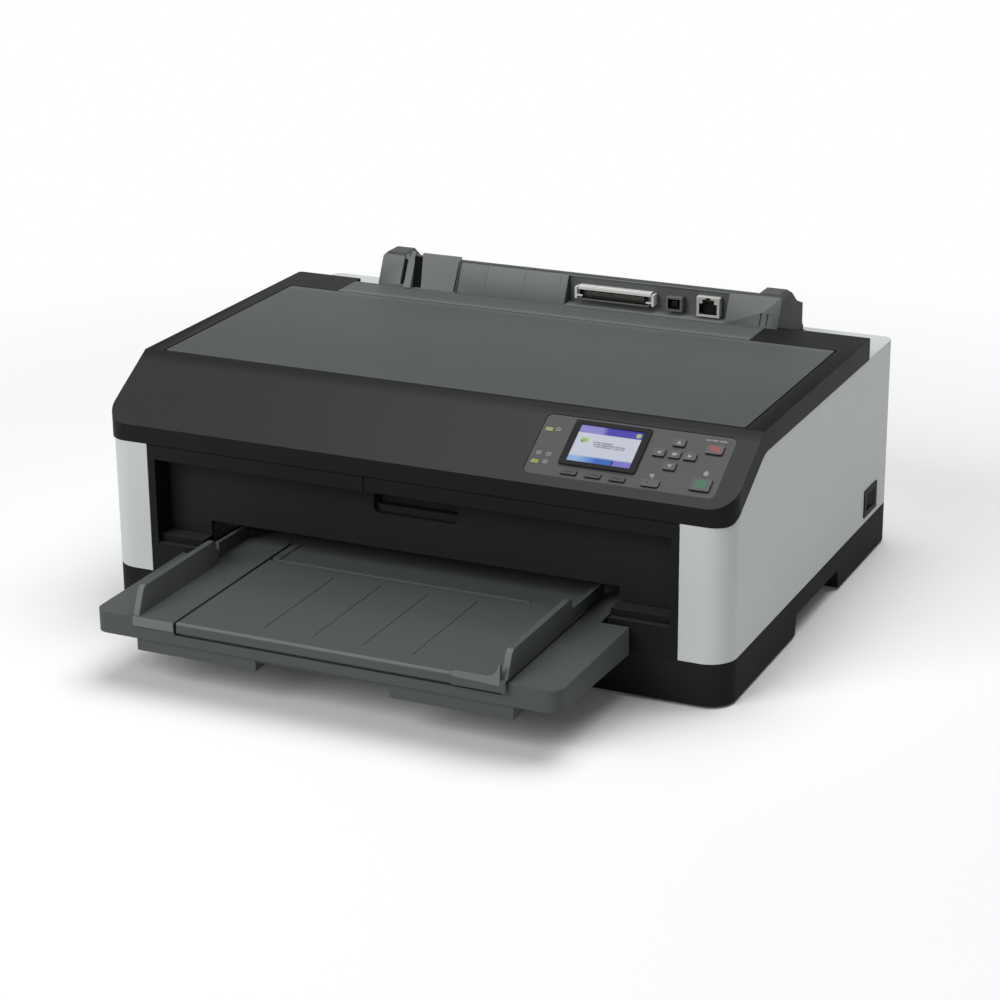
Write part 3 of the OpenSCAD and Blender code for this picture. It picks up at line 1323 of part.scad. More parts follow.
lower_case();
feet();
side_panel_left();
side_panel_right();
rear_panel();
upper_case();
rear_strip();
lid();
front_frame();
front_cover();
tray_base();
tray_table();
edge_guide_left();
edge_guide_right();
control_panel();
lcd_bezel();
lcd_screen();
led_lenses();
button_up();
button_down();
button_left();
button_right();
button_ok();
button_stop();
button_start();
button_back();
button_f1();
button_f2();
button_f3();
rear_guide();
rear_edge_guide();
parallel_port();
usb_port();
lan_port();
switch_bezel();
power_rocker();
chassis_plate();
frame_left();
frame_right();
carriage_shaft();
carriage_rail();
carriage();
print_head();
ribbon_cartridge();
ribbon_knob();
drive_belt();
carriage_motor();
motor_pulley();
idler_pulley();
platen();
feed_roller_front();
feed_roller_rear();
pinch_roller_front();
pinch_roller_rear();
idler_gear();
motor_pinion();
feed_motor();
main_board();
power_supply();
screws();
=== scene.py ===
import json
import math
import bmesh
import bpy
from mathutils import Matrix, Vector
from mathutils.bvhtree import BVHTree
from mathutils.kdtree import KDTree

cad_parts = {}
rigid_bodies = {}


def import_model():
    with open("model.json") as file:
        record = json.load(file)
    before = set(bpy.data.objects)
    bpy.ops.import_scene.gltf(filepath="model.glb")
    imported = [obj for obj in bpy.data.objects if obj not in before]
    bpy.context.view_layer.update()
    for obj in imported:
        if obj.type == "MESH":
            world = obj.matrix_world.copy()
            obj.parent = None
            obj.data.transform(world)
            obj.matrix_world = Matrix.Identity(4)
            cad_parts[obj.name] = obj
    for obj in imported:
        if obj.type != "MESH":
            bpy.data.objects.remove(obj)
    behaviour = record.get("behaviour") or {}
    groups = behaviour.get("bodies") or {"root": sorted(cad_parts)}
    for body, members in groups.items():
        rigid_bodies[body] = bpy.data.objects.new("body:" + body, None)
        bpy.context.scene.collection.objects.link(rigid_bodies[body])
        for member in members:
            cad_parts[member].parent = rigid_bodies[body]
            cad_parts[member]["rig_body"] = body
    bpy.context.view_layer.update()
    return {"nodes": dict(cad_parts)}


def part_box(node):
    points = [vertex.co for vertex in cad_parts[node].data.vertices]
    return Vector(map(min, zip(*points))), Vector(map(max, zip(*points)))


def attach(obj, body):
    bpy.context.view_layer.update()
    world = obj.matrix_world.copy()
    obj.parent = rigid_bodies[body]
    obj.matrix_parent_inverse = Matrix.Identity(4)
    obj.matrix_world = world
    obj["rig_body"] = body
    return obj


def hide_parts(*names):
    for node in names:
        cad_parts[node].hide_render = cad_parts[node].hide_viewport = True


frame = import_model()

scene = bpy.context.scene
nodes = frame["nodes"]

# the camera stands where the photograph was taken from
photoCamera = {
    "place": (0.799, -1.68255, 0.757),   # metres, in the printer's frame
    "turn": 24.839,                      # degrees to the left of straight back
    "tilt": 20.027,                      # degrees down
    "roll": -0.45,
    "focal": 96.98,                      # millimetres on a 36 mm sensor
}

studio = {
    "worldLevel": 0.13,
    "floorColour": (0.92, 0.92, 0.92),
    "floorLift": 0.03,                   # what the camera sees on top of the floor's own light
    "floorFade": (0.42, 1.05),           # metres from the middle over which the floor turns plain white
    "lamps": [                           # place, target, size, watts
        ((0.30, 0.50, 2.45), (0.0, 0.05, 0.1), 2.0, 47.5),
        ((-1.05, -2.35, 1.75), (0.0, -0.1, 0.1), 1.8, 57.0),
    ],
}


def buildCamera(spec):
    yaw, pitch, roll = (math.radians(spec[k]) for k in ("turn", "tilt", "roll"))
    ahead = Vector((-math.sin(yaw) * math.cos(pitch), math.cos(yaw) * math.cos(pitch), -math.sin(pitch)))
    right = Vector((math.cos(yaw), math.sin(yaw), 0))
    up = right.cross(ahead)
    side = math.cos(roll) * right + math.sin(roll) * up
    top = math.cos(roll) * up - math.sin(roll) * right
    lens = bpy.data.cameras.new("photoCamera")
    lens.lens, lens.sensor_width, lens.sensor_fit = spec["focal"], 36, "HORIZONTAL"
    lens.clip_end = 60
    cam = bpy.data.objects.new("photoCamera", lens)
    scene.collection.objects.link(cam)
    turn = Matrix((side, top, -ahead)).transposed().to_4x4()
    cam.matrix_world = Matrix.Translation(spec["place"]) @ turn
    scene.camera = cam


def buildStudio(spec):
    scene.view_settings.view_transform = "Standard"
    world = bpy.data.worlds.new("paleRoom")
    scene.world = world
    world.use_nodes = True
    tree = world.node_tree
    tree.nodes.clear()
    path = tree.nodes.new("ShaderNodeLightPath")
    seen = Wire(tree, path.outputs["Is Camera Ray"]) + Wire(tree, path.outputs["Is Glossy Ray"])
    seen = (seen + Wire(tree, path.outputs["Is Transmission Ray"])).clamp()
    soft = tree.nodes.new("ShaderNodeBackground")
    soft.inputs["Color"].default_value = (1, 1, 1, 1)
    soft.inputs["Strength"].default_value = spec["worldLevel"]
    white = tree.nodes.new("ShaderNodeBackground")
    white.inputs["Color"].default_value = (1, 1, 1, 1)
    mix = tree.nodes.new("ShaderNodeMixShader")
    out = tree.nodes.new("ShaderNodeOutputWorld")
    tree.links.new(seen.socket, mix.inputs[0])
    tree.links.new(soft.outputs[0], mix.inputs[1])
    tree.links.new(white.outputs[0], mix.inputs[2])
    tree.links.new(mix.outputs[0], out.inputs["Surface"])
    for i, (place, target, size, watts) in enumerate(spec["lamps"]):
        lamp = bpy.data.lights.new("softbox%d" % i, "AREA")
        lamp.shape, lamp.size, lamp.energy = "SQUARE", size, watts
        box = bpy.data.objects.new("softbox%d" % i, lamp)
        scene.collection.objects.link(box)
        box.location = place
        box.rotation_euler = (Vector(target) - Vector(place)).to_track_quat("-Z", "Y").to_euler()
    # floor: a wide pale sheet that keeps the printer's shadow
    mesh = bpy.data.meshes.new("floorSheet")
    mesh.from_pydata([(-9, -9, 0), (9, -9, 0), (9, 12, 0), (-9, 12, 0)], [], [(0, 1, 2, 3)])
    floor = bpy.data.objects.new("floorSheet", mesh)
    scene.collection.objects.link(floor)
    paper = Finish("floorPaper")
    paper.shader.inputs["Base Color"].default_value = (*spec["floorColour"], 1)
    paper.shader.inputs["Roughness"].default_value = 0.9
    paper.shader.inputs["Specular IOR Level"].default_value = 0.1
    rays = paper.node("LightPath", {}, {}, "Is Camera Ray")
    clear = Wire(paper.tree, rays.socket.node.outputs["Is Transmission Ray"])
    shine = Wire(paper.tree, rays.socket.node.outputs["Is Glossy Ray"])
    seen = (rays + clear + shine).clamp()
    away = paper.node("VectorMath", {"operation": "LENGTH"}, {0: paper.spot()}, "Value")
    fade = paper.rise(away, *spec["floorFade"])
    lit = paper.node("Emission", {}, {"Color": (1, 1, 1, 1), "Strength": seen * spec["floorLift"]})
    plain = paper.node("Emission", {}, {"Color": (1, 1, 1, 1), "Strength": 1.0})
    body = paper.node("AddShader", {}, {0: paper.body, 1: lit})
    paper.surface(paper.node("MixShader", {}, {0: fade * seen, 1: body, 2: plain}))
    floor.data.materials.append(paper.material)


def plug(tree, socket, value):
    if isinstance(value, Wire):
        tree.links.new(value.socket, socket)
    elif isinstance(value, (tuple, list)) and socket.type == "RGBA" and len(value) == 3:
        socket.default_value = (*value, 1)
    else:
        socket.default_value = value


class Wire:                              # one output socket, with arithmetic
    def __init__(self, tree, socket):
        self.tree, self.socket = tree, socket

    def math(self, operation, *values, clamp=False):
        node = self.tree.nodes.new("ShaderNodeMath")
        node.operation, node.use_clamp = operation, clamp
        for slot, value in zip(node.inputs, values):
            plug(self.tree, slot, value)
        return Wire(self.tree, node.outputs[0])

    def __add__(self, other): return self.math("ADD", self, other)
    def __radd__(self, other): return self.math("ADD", other, self)
    def __sub__(self, other): return self.math("SUBTRACT", self, other)
    def __rsub__(self, other): return self.math("SUBTRACT", other, self)
    def __mul__(self, other): return self.math("MULTIPLY", self, other)
    def __truediv__(self, other): return self.math("DIVIDE", self, other)
    def __pow__(self, other): return self.math("POWER", self, other)
    def __gt__(self, other): return self.math("GREATER_THAN", self, other)
    def clamp(self): return self.math("ADD", self, 0.0, clamp=True)

    def between(self, low, high, soft):  # 1 inside low..high, with a soft edge
        return self.math("MULTIPLY", (self - low) / soft + 0.5, 1.0, clamp=True) \
            * self.math("MULTIPLY", (high - self) / soft + 0.5, 1.0, clamp=True)


class Finish:                            # a material on the Principled shader
    def __init__(self, name, slot=None):
        self.material = bpy.data.materials.new(name)
        self.material.use_nodes = True
        self.tree = self.material.node_tree
        self.shader = self.tree.nodes["Principled BSDF"]
        self.out = self.tree.nodes["Material Output"]
        self.body = Wire(self.tree, self.shader.outputs[0])
        self.slot = slot

    def node(self, kind, settings, values, output=0):
        node = self.tree.nodes.new("ShaderNode" + kind)
        for key, value in settings.items():
            setattr(node, key, value)
        for key, value in values.items():
            plug(self.tree, node.inputs[key], value)
        return Wire(self.tree, node.outputs[output])

    def spot(self):                      # the place in the printer's frame
        return self.node("TexCoord", {}, {}, "Object")

    def along(self, way, at=None):       # metres along a direction
        values = {0: self.spot() if at is None else at, 1: tuple(way)}
        return self.node("VectorMath", {"operation": "DOT_PRODUCT"}, values, "Value")

    def rise(self, value, low, high):    # 0 below low, 1 above high, smooth between
        return self.node("MapRange", {"interpolation_type": "SMOOTHSTEP"},
                         {"Value": value, "From Min": low, "From Max": high, "To Min": 0.0, "To Max": 1.0})

    def cells(self, scale):
        return self.node("TexVoronoi", {"feature": "F1"}, {"Vector": self.spot(), "Scale": scale}, "Distance")

    def drawn(self, scale):              # the place, stretched along the direction of a brush or a tool
        return self.node("Mapping", {}, {"Vector": self.spot(), "Scale": scale})

    def noise(self, size, detail=2.0, rough=0.5, at=None, warp=0.0):   # size of a blotch in metres
        values = {"Scale": 1.0 / size, "Detail": detail, "Roughness": rough, "Distortion": warp}
        values["Vector"] = self.spot() if at is None else at
        return self.node("TexNoise", {}, values, "Fac")

    def blend(self, amount, first, second, mode="MIX"):                # colours
        node = self.tree.nodes.new("ShaderNodeMix")
        node.data_type, node.blend_type, node.clamp_factor = "RGBA", mode, True
        for slot, value in ((0, amount), (6, first), (7, second)):
            plug(self.tree, node.inputs[slot], value)
        return Wire(self.tree, node.outputs[2])

    def bump(self, height, depth, strength):                           # depth in metres
        return self.node("Bump", {}, {"Height": height, "Distance": depth, "Strength": strength})

    def attribute(self, name):
        return self.node("Attribute", {"attribute_name": name}, {}, "Fac")

    def surface(self, shader):
        self.tree.links.new(shader.socket, self.out.inputs["Surface"])

    def set(self, **values):
        names = {"colour": "Base Color", "rough": "Roughness", "metal": "Metallic", "normal": "Normal",
                 "spec": "Specular IOR Level", "glow": "Emission Color", "glowLevel": "Emission Strength"}
        for key, value in values.items():
            plug(self.tree, self.shader.inputs[names[key]], value)


slope = {                                # the control face, in the printer's frame
    "foot": (-0.11855, 0.144),           # y and z of its lower edge
    "rise": math.atan2(37, 62),
}
slopeUp = Vector((0, -math.sin(slope["rise"]), math.cos(slope["rise"])))
slopeRun = Vector((0, math.cos(slope["rise"]), math.sin(slope["rise"])))


def slopePoint(x, along, lift=0.0):      # x, way up the slope and height over it to a place in the frame
    y, z = slope["foot"]
    return Vector((x, y, z)) + slopeRun * along + slopeUp * lift


def shade(colour, factor):
    return tuple(min(1.0, c * factor) for c in colour)


# colour, roughness, gloss level, grain depth (m), how far rims are rubbed and lit, and the tone of such a rim (wear
# with a painted highlight)
plastics = {
    "caseDark": ((0.032, 0.032, 0.0325), 0.48, 0.05, 1.6e-5, 0.9, 2.1),
    # painted shade: a darker copy of the case plastic for its flat top
    "caseTopShade": ((0.0200, 0.0200, 0.0205), 0.50, 0.02, 1.6e-5, 0.35, 1.55),
    "lidPlastic": ((0.0615, 0.0675, 0.0680), 0.50, 0.05, 1.6e-5, 0.35, 1.55),
    "stripPlastic": ((0.092, 0.100, 0.100), 0.50, 0.05, 1.6e-5, 1.0, 1.9),
    # painted shade in the rear guide's socket recess, and painted light on the left guide's inner side
    "bayShadeSideLight": ((0.125, 0.130, 0.131), 0.52, 0.06, 1.6e-5, 0.3, 1.4),
    "basePlastic": ((0.0180, 0.0180, 0.0182), 0.52, 0.02, 1.8e-5, 0.5, 1.55),
    "coverPlastic": ((0.0190, 0.0190, 0.0192), 0.50, 0.06, 1.8e-5, 0.5, 1.55),
    "guidePlastic": ((0.190, 0.200, 0.201), 0.50, 0.08, 1.6e-5, 0.4, 1.55),
    "lightPlastic": ((0.545, 0.575, 0.575), 0.42, 0.18, 1.0e-5, 0.12, 1.55),
    "blackPlastic": ((0.0120, 0.0120, 0.0122), 0.50, 0.06, 1.8e-5, 0.5, 1.55),
    "panelPlastic": ((0.080, 0.080, 0.080), 0.42, 0.12, 0.8e-5, 0.3, 1.55),
    "keyPlastic": ((0.066, 0.066, 0.066), 0.40, 0.28, 0.5e-5, 0.5, 1.55),
    # painted shade on the keys' upright sides
    "keyShade": ((0.012, 0.012, 0.012), 0.50, 0.15, 0.5e-5, 0.2, 1.55),
    "flatKey": ((0.052, 0.052, 0.052), 0.42, 0.22, 0.5e-5, 0.3, 1.55),
    # painted shade inside the sockets' openings and the latch notch
    "socketHollowShade": ((0.010, 0.010, 0.010), 0.55, 0.10, 0.5e-5, 0.1, 1.55),
    "tonguePlastic": ((0.060, 0.058, 0.055), 0.50, 0.20, 0.5e-5, 0.2, 1.55),
    "socketShell": ((0.560, 0.560, 0.540), 0.40, 0.20, 0.5e-5, 0.1, 1.2),
    "gearPlastic": ((0.700, 0.690, 0.640), 0.42, 0.40, 0.8e-5, 0.2, 1.55),
    "trayPlastic": ((0.080, 0.0865, 0.0865), 0.50, 0.05, 1.6e-5, 0.9, 2.3),
    # painted highlight on the front ends of the edge guides and on the rolled edges
    "paintedLipHighlight": ((0.148, 0.160, 0.162), 0.50, 0.08, 1.6e-5, 0.6, 1.5),
    # painted light on the sill's top faces
    "sillTopLight": ((0.0420, 0.0420, 0.0425), 0.50, 0.06, 1.6e-5, 0.8, 1.8),
    # painted shade on the rear guide's tops, its right end and its recess's left wall
    "guideShaded": ((0.070, 0.074, 0.075), 0.52, 0.05, 1.6e-5, 0.3, 1.3),
    # painted shade on the fronts of the rear guide's ends
    "earShade": ((0.130, 0.137, 0.138), 0.50, 0.06, 1.6e-5, 0.4, 1.4),
    # painted shadow: dark faces and sheets where only shade falls
    "paintedShadow": ((0.0060, 0.0060, 0.0060), 0.60, 0.02, 0.8e-5, 0.1, 1.2),
    # painted shade: a darker copy of the socket steel
    "shellShade": ((0.150, 0.150, 0.155), 0.42, 0.20, 0.5e-5, 0.4, 1.6),
    # painted highlight: a brighter copy of the socket steel
    "shellHighlight": ((0.780, 0.780, 0.775), 0.36, 0.40, 0.5e-5, 0.1, 1.1),
}


def mouldedPlastic(name, slot, *lightDrifts):
    # a drift is a painted gradient of light or shade: its direction, where it starts and ends (m), and the gain at its
    # end
    colour, rough, gloss, grainDepth, rubbedAndLit, rimHighlightTone = plastics[name]
    f = Finish(name, slot)
    grain = f.noise(0.00042, 2.0, 0.6)                  # spark-eroded mould texture
    fleck = f.noise(0.0016, 3.0, 0.55)
    cloud = f.noise(0.085, 2.0, 0.5, warp=0.4)          # slow drift of tone over a face
    handled = f.noise(0.021, 4.0, 0.62)                 # faint patches from handling
    rim = f.attribute("rim")
    # rims get lighter: wear where handled, plus a painted highlight
    wearAndHighlight = (rim * (handled * 1.6 - 0.25)).clamp()
    tone = f.blend(cloud, shade(colour, 0.955), shade(colour, 1.045))
    tone = f.blend(fleck * 0.35, tone, shade(colour, 0.90))
    for way, low, high, gain in lightDrifts:
        share = f.rise(f.along(way), low, high)
        tone = f.blend(share, tone, f.blend(1.0, tone, (gain, gain, gain), "MULTIPLY"))
    tone = f.blend(wearAndHighlight * rubbedAndLit, tone, shade(colour, rimHighlightTone))
    f.set(colour=tone, rough=rough + (handled - 0.5) * 0.10 + (fleck - 0.5) * 0.05 - wearAndHighlight * 0.06,
          spec=gloss, normal=f.bump(grain * 0.8 + fleck * 0.4, grainDepth, 0.55))
    return f


def softRubber(name, slot):
    f = Finish(name, slot)
    dust = f.noise(0.004, 4.0, 0.6)
    f.set(colour=f.blend(dust, (0.016, 0.016, 0.016), (0.034, 0.033, 0.032)), rough=0.78 + dust * 0.12,
          normal=f.bump(f.noise(0.0006, 2.0), 3e-5, 0.6))
    return f


def platedSheet(name, slot, colour, rough):
    f = Finish(name, slot)
    brush = f.noise(0.006, 4.0, 0.65, at=f.drawn((14, 1, 1)))
    spangle = f.cells(240.0)
    smear = f.noise(0.03, 3.0, 0.6)
    tone = f.blend(smear, shade(colour, 0.88), shade(colour, 1.08))
    tone = f.blend(spangle * 0.3, tone, shade(colour, 0.8))
    f.set(colour=tone, metal=1.0, rough=rough + brush * 0.12 + smear * 0.08,
          normal=f.bump(brush, 8e-6, 0.4))
    return f


def groundBar(name, slot):
    f = Finish(name, slot)
    rings = f.noise(0.0004, 2.0, 0.5, at=f.drawn((1, 0.02, 0.02)))
    oil = f.noise(0.02, 3.0, 0.6)
    f.set(colour=f.blend(oil, (0.70, 0.71, 0.73), (0.80, 0.81, 0.82)), metal=1.0,
          rough=0.10 + rings * 0.10 + oil * 0.08, normal=f.bump(rings, 3e-6, 0.3))
    return f


def castAlloy(name, slot):
    f = Finish(name, slot)
    pits = f.noise(0.0012, 5.0, 0.7)
    heat = f.noise(0.018, 3.0, 0.5)
    f.set(colour=f.blend(heat, (0.36, 0.37, 0.39), (0.50, 0.51, 0.52)), metal=0.9,
          rough=0.38 + pits * 0.25, normal=f.bump(pits, 4e-5, 0.5))
    return f


def paintedCan(name, slot):
    f = Finish(name, slot)
    peel = f.noise(0.0009, 3.0, 0.5)
    rub = f.noise(0.012, 5.0, 0.65)
    f.set(colour=f.blend(rub, (0.33, 0.33, 0.35), (0.44, 0.44, 0.46)), metal=0.85,
          rough=0.34 + rub * 0.2, normal=f.bump(peel, 1.5e-5, 0.5))
    return f


def turnedBrass(name, slot):
    f = Finish(name, slot)
    turned = f.noise(0.0003, 2.0, 0.5, at=f.drawn((1, 0.03, 0.03)))
    dull = f.noise(0.004, 4.0, 0.6)
    f.set(colour=f.blend(dull, (0.62, 0.46, 0.19), (0.78, 0.62, 0.32)), metal=1.0,
          rough=0.2 + dull * 0.2 + turned * 0.08, normal=f.bump(turned, 4e-6, 0.4))
    return f


def solderMask(name, slot):
    f = Finish(name, slot)
    tracks = f.node("TexBrick", {"offset": 0.37, "squash": 1.4, "squash_frequency": 3},
                    {"Vector": f.spot(), "Color1": (1, 1, 1, 1), "Color2": (1, 1, 1, 1), "Mortar": (0, 0, 0, 1),
                     "Scale": 95.0, "Mortar Size": 0.035, "Brick Width": 1.9, "Row Height": 0.22}, "Fac")
    zones = f.noise(0.022, 1.0) > 0.5
    wet = f.noise(0.006, 3.0)
    tone = f.blend(tracks * zones * 0.8, (0.012, 0.095, 0.036), (0.035, 0.20, 0.085))
    f.set(colour=tone, rough=0.28 + wet * 0.14, normal=f.bump(tracks * zones, 2.5e-5, 0.6))
    return f


def printInk(name, slot, colour):
    f = Finish(name, slot)
    speck = f.noise(0.0003, 2.0, 0.6)
    thin = f.noise(0.0018, 3.0, 0.6)
    f.set(colour=f.blend(thin * 0.6 + speck * 0.2, colour, shade(colour, 0.72)), rough=0.42 + thin * 0.15, spec=0.25,
          normal=f.bump(speck, 4e-6, 0.4))
    return f


def lampLens(name, slot, colour, level):
    f = Finish(name, slot)
    cells = f.cells(1300.0)
    core = f.noise(0.0021, 1.0)
    lit = f.blend(core, shade(colour, 0.72), shade(colour, 1.1))
    f.set(colour=lit, glow=lit, glowLevel=level, rough=0.14 + core * 0.1, spec=0.5, normal=f.bump(cells, 2e-5, 0.5))
    return f


display = {                              # metres on the control face: the lit window, and what it shows
    "middle": (0.1382, 0.0403),
    "size": (0.0465, 0.0330),
    "glow": 0.46,
    "field": (0.70, 0.73, 0.84),
    "header": ((0.33, 0.31, 0.76), (0.080, 0.065, 0.50)),
    "footer": ((0.36, 0.56, 0.92), (0.050, 0.17, 0.66), (0.24, 0.22, 0.72)),
    "words": (0.23, 0.24, 0.28),         # grey lines that stand for a message
    "green": (0.40, 0.66, 0.16),
}


def litDisplay(name, slot, spec):        # a generic status page, drawn with masks over the window
    f = Finish(name, slot)
    corner = slopePoint(spec["middle"][0] - spec["size"][0] / 2, spec["middle"][1] - spec["size"][1] / 2)
    local = f.node("VectorMath", {"operation": "SUBTRACT"}, {0: f.spot(), 1: tuple(corner)}, "Vector")
    x = f.along((1, 0, 0), local) / spec["size"][0]
    y = f.along(slopeRun, local) / spec["size"][1]
    field = f.blend(f.noise(0.03, 1.0), spec["field"], shade(spec["field"], 1.06))
    header = f.blend(x.between(0.40, 2.0, 0.10), *spec["header"])
    footer = f.blend(x.between(0.30, 2.0, 0.30), spec["footer"][0], spec["footer"][1])
    footer = f.blend(x.between(0.70, 2.0, 0.02), footer, spec["footer"][2])
    picture = f.blend(y.between(0.80, 2.0, 0.015), field, header)
    picture = f.blend(y.between(-1.0, 0.175, 0.05), picture, footer)
    wordBreaks = (f.noise(0.0016, 2.0, 0.7, at=f.drawn((1, 0.2, 0.2))) * 3.0 - 0.6).clamp()
    lines = x.between(0.285, 0.60, 0.01) * y.between(0.560, 0.595, 0.012) \
        + x.between(0.300, 0.80, 0.01) * y.between(0.500, 0.540, 0.012) \
        + x.between(0.320, 0.80, 0.01) * y.between(0.450, 0.482, 0.012)
    picture = f.blend(lines * wordBreaks * 0.85, picture, spec["words"])
    badge = x.between(0.085, 0.195, 0.012) * y.between(0.545, 0.665, 0.02)
    picture = f.blend(badge, picture, spec["green"])
    picture = f.blend(x.between(0.095, 0.135, 0.01) * y.between(0.545, 0.59, 0.01), picture, (0.20, 0.22, 0.24))
    spot = ((x - 0.93) ** 2.0) + (((y - 0.895) * 0.71) ** 2.0)
    picture = f.blend((1.0 - spot * 420.0).clamp() ** 0.5, picture, (0.55, 0.72, 0.20))
    picture = f.blend(x.between(0.685, 0.715, 0.01) * y.between(0.04, 0.15, 0.02), picture, (0.05, 0.04, 0.20))
    pixels = f.node("TexWave", {"wave_type": "BANDS", "bands_direction": "X"},
                    {"Vector": f.spot(), "Scale": 1100.0}, "Fac")
    picture = f.blend(pixels * 0.06, picture, (0.02, 0.02, 0.03))
    f.set(colour=f.blend(0.75, picture, (0.02, 0.02, 0.02)), glow=picture, glowLevel=spec["glow"],
          rough=0.30, spec=0.05, normal=f.bump(pixels, 1e-6, 0.2))
    return f


def pianoBlack(name, slot):
    f = Finish(name, slot)
    haze = f.noise(0.009, 4.0, 0.6)
    f.set(colour=f.blend(haze, (0.013, 0.013, 0.014), (0.019, 0.019, 0.020)), rough=0.34 + haze * 0.10, spec=0.06,
          normal=f.bump(f.noise(0.0007, 2.0), 2e-6, 0.3))
    return f


paintedLightDrifts = {                           # painted light and shade: direction, start and end (m), gain at the end
    # painted light on the slope, lighter to the right, and a painted shadow band under the lid's front edge
    "caseDark": [((1, 0, 0), -0.20, 0.14, 1.45),
                 (slopeRun, *(slopeRun.dot(slopePoint(0, up)) for up in (0.0600, 0.0700)), 0.55)],
    # painted shade on the flat top, darker to the right
    "caseTopShade": [((1, 0, 0), -0.20, 0.22, 0.70)],
    # painted light, lighter towards the rear, and painted highlights at the lid's rear and front edges
    "lidPlastic": [((0, 1, 0), -0.04, 0.13, 1.24), ((0, 1, 0), 0.130, 0.1395, 1.28),
                   ((0, -1, 0), 0.0495, 0.0523, 1.20)],
    # painted highlight, lighter towards the strip's front edge
    "stripPlastic": [((0, -1, 0), -0.1520, -0.1425, 1.42)],
    # painted light on the table, lighter towards the rear in the shade under the cover
    "trayPlastic": [((0, 1, 0), -0.160, -0.105, 1.45)],
}
mouldedSlots = {                         # the record's material of each moulded finish
    "case_dark": ["caseDark", "caseTopShade", "flatKey"],
    "slate_plastic": ["lidPlastic", "stripPlastic", "trayPlastic", "paintedLipHighlight"],
    "guide_plastic": ["bayShadeSideLight", "guideShaded", "earShade", "guidePlastic"],
    "black_plastic": [
        "sillTopLight", "paintedShadow", "blackPlastic", "basePlastic", "coverPlastic", "socketHollowShade",
        "tonguePlastic"],
    "socket_steel": ["shellShade", "shellHighlight", "socketShell"],
    "light_plastic": ["lightPlastic"],
    "panel_plastic": ["panelPlastic"],
    "key_plastic": ["keyPlastic", "keyShade"],
    "gear_plastic": ["gearPlastic"],
}
finishes = {name: mouldedPlastic(name, slot, *paintedLightDrifts.get(name, []))
            for slot, names in mouldedSlots.items() for name in names}
finishes.update({
    "footRubber": softRubber("footRubber", "rubber"),
    "sheetSteel": platedSheet("sheetSteel", "steel_sheet", (0.56, 0.57, 0.58), 0.30),
    "barSteel": groundBar("barSteel", "steel_bar"),
    "headAlloy": castAlloy("headAlloy", "head_metal"),
    "motorCan": paintedCan("motorCan", "motor_steel"),
    "pinionBrass": turnedBrass("pinionBrass", "brass"),
    "boardMask": solderMask("boardMask", "board_green"),
    "bezelGloss": pianoBlack("bezelGloss", "bezel_gloss"),
    "panelInk": printInk("panelInk", "panel_plastic", (0.27, 0.27, 0.27)),
    "keyInk": printInk("keyInk", "key_plastic", (0.34, 0.34, 0.34)),
    "redInk": printInk("redInk", "key_red", (0.26, 0.075, 0.078)),
    "greenInk": printInk("greenInk", "key_green", (0.058, 0.140, 0.090)),
    # dark print for marks, also used for the painted shadow rings around the keys
    "darkInkAndShadow": printInk("darkInkAndShadow", "case_dark", (0.020, 0.020, 0.021)),
    "lampGlow": lampLens("lampGlow", "lens", (0.175, 0.205, 0.012), 0.05),
    "displayPicture": litDisplay("displayPicture", "screen", display),
})
buildCamera(photoCamera)
buildStudio(studio)
print("camera, studio and", len(finishes), "finishes ready")

mouldings = {                            # node: finish, rim radius (m), rings in the rim
    "lower_case": ("basePlastic", 0.0010, 2),
    "side_panel_left": ("lightPlastic", 0.0007, 2),
    "side_panel_right": ("lightPlastic", 0.0007, 2),
    "rear_panel": ("lightPlastic", 0.0006, 2),
    "upper_case": ("caseDark", 0.0014, 3),
    "rear_strip": ("stripPlastic", 0.0008, 2),
    "lid": ("lidPlastic", 0.0010, 3),
    "front_frame": ("blackPlastic", 0.0008, 2),
    "front_cover": ("coverPlastic", 0.0008, 2),
    "tray_base": ("trayPlastic", 0.0012, 3),
    "tray_table": ("trayPlastic", 0.0004, 2),
    "edge_guide_left": ("trayPlastic", 0.0010, 3),
    "edge_guide_right": ("trayPlastic", 0.0005, 2),
    "control_panel": ("panelPlastic", 0.0003, 2),
    "lcd_bezel": ("bezelGloss", 0.0004, 2),
    "rear_guide": ("guidePlastic", 0.0008, 2),
    "rear_edge_guide": ("guidePlastic", 0.0006, 2),
    "switch_bezel": ("blackPlastic", 0.0005, 2),
    "power_rocker": ("blackPlastic", 0.0005, 2),
    "button_up": ("keyPlastic", 0.00035, 2), "button_down": ("keyPlastic", 0.00035, 2),
    "button_left": ("keyPlastic", 0.00035, 2), "button_right": ("keyPlastic", 0.00035, 2),
    "button_ok": ("keyPlastic", 0.00035, 2), "button_stop": ("keyPlastic", 0.00040, 3),
    "button_start": ("keyPlastic", 0.00040, 3), "button_back": ("keyPlastic", 0.00030, 2),
    "button_f1": ("flatKey", 0.00025, 2), "button_f2": ("flatKey", 0.00025, 2), "button_f3": ("flatKey", 0.00025, 2),
    # the parallel and USB shells get shellShade, a painted-shade copy of the socket steel
    "parallel_port": ("shellShade", 0.00012, 1), "usb_port": ("shellShade", 0.00012, 1),
    "lan_port": ("socketShell", 0.00015, 1),
}


def inSocket(node, rim):                 # true for faces that lie inside a socket's shell
    low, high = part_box(node)
    def inside(face):
        at = face.calc_center_median()
        return (low[0] + rim < at.x < high[0] - rim and low[2] + rim < at.z < high[2] - rim
                and at.y > low[1] + 0.0004)
    return inside


def caseFace(face):                      # 1 the steep sides, 2 the flat top: painted shade, darker copies of the slope's plastic; 3 a painted shadow line in front of the lid
    at, normal = face.calc_center_median(), face.normal
    if normal.z > 0.90 and -0.060 < at.y < -0.0515 and at.z > 0.180:
        return 3
    if normal.z > 0.97:
        return 2
    return int(normal.z < 0.35)


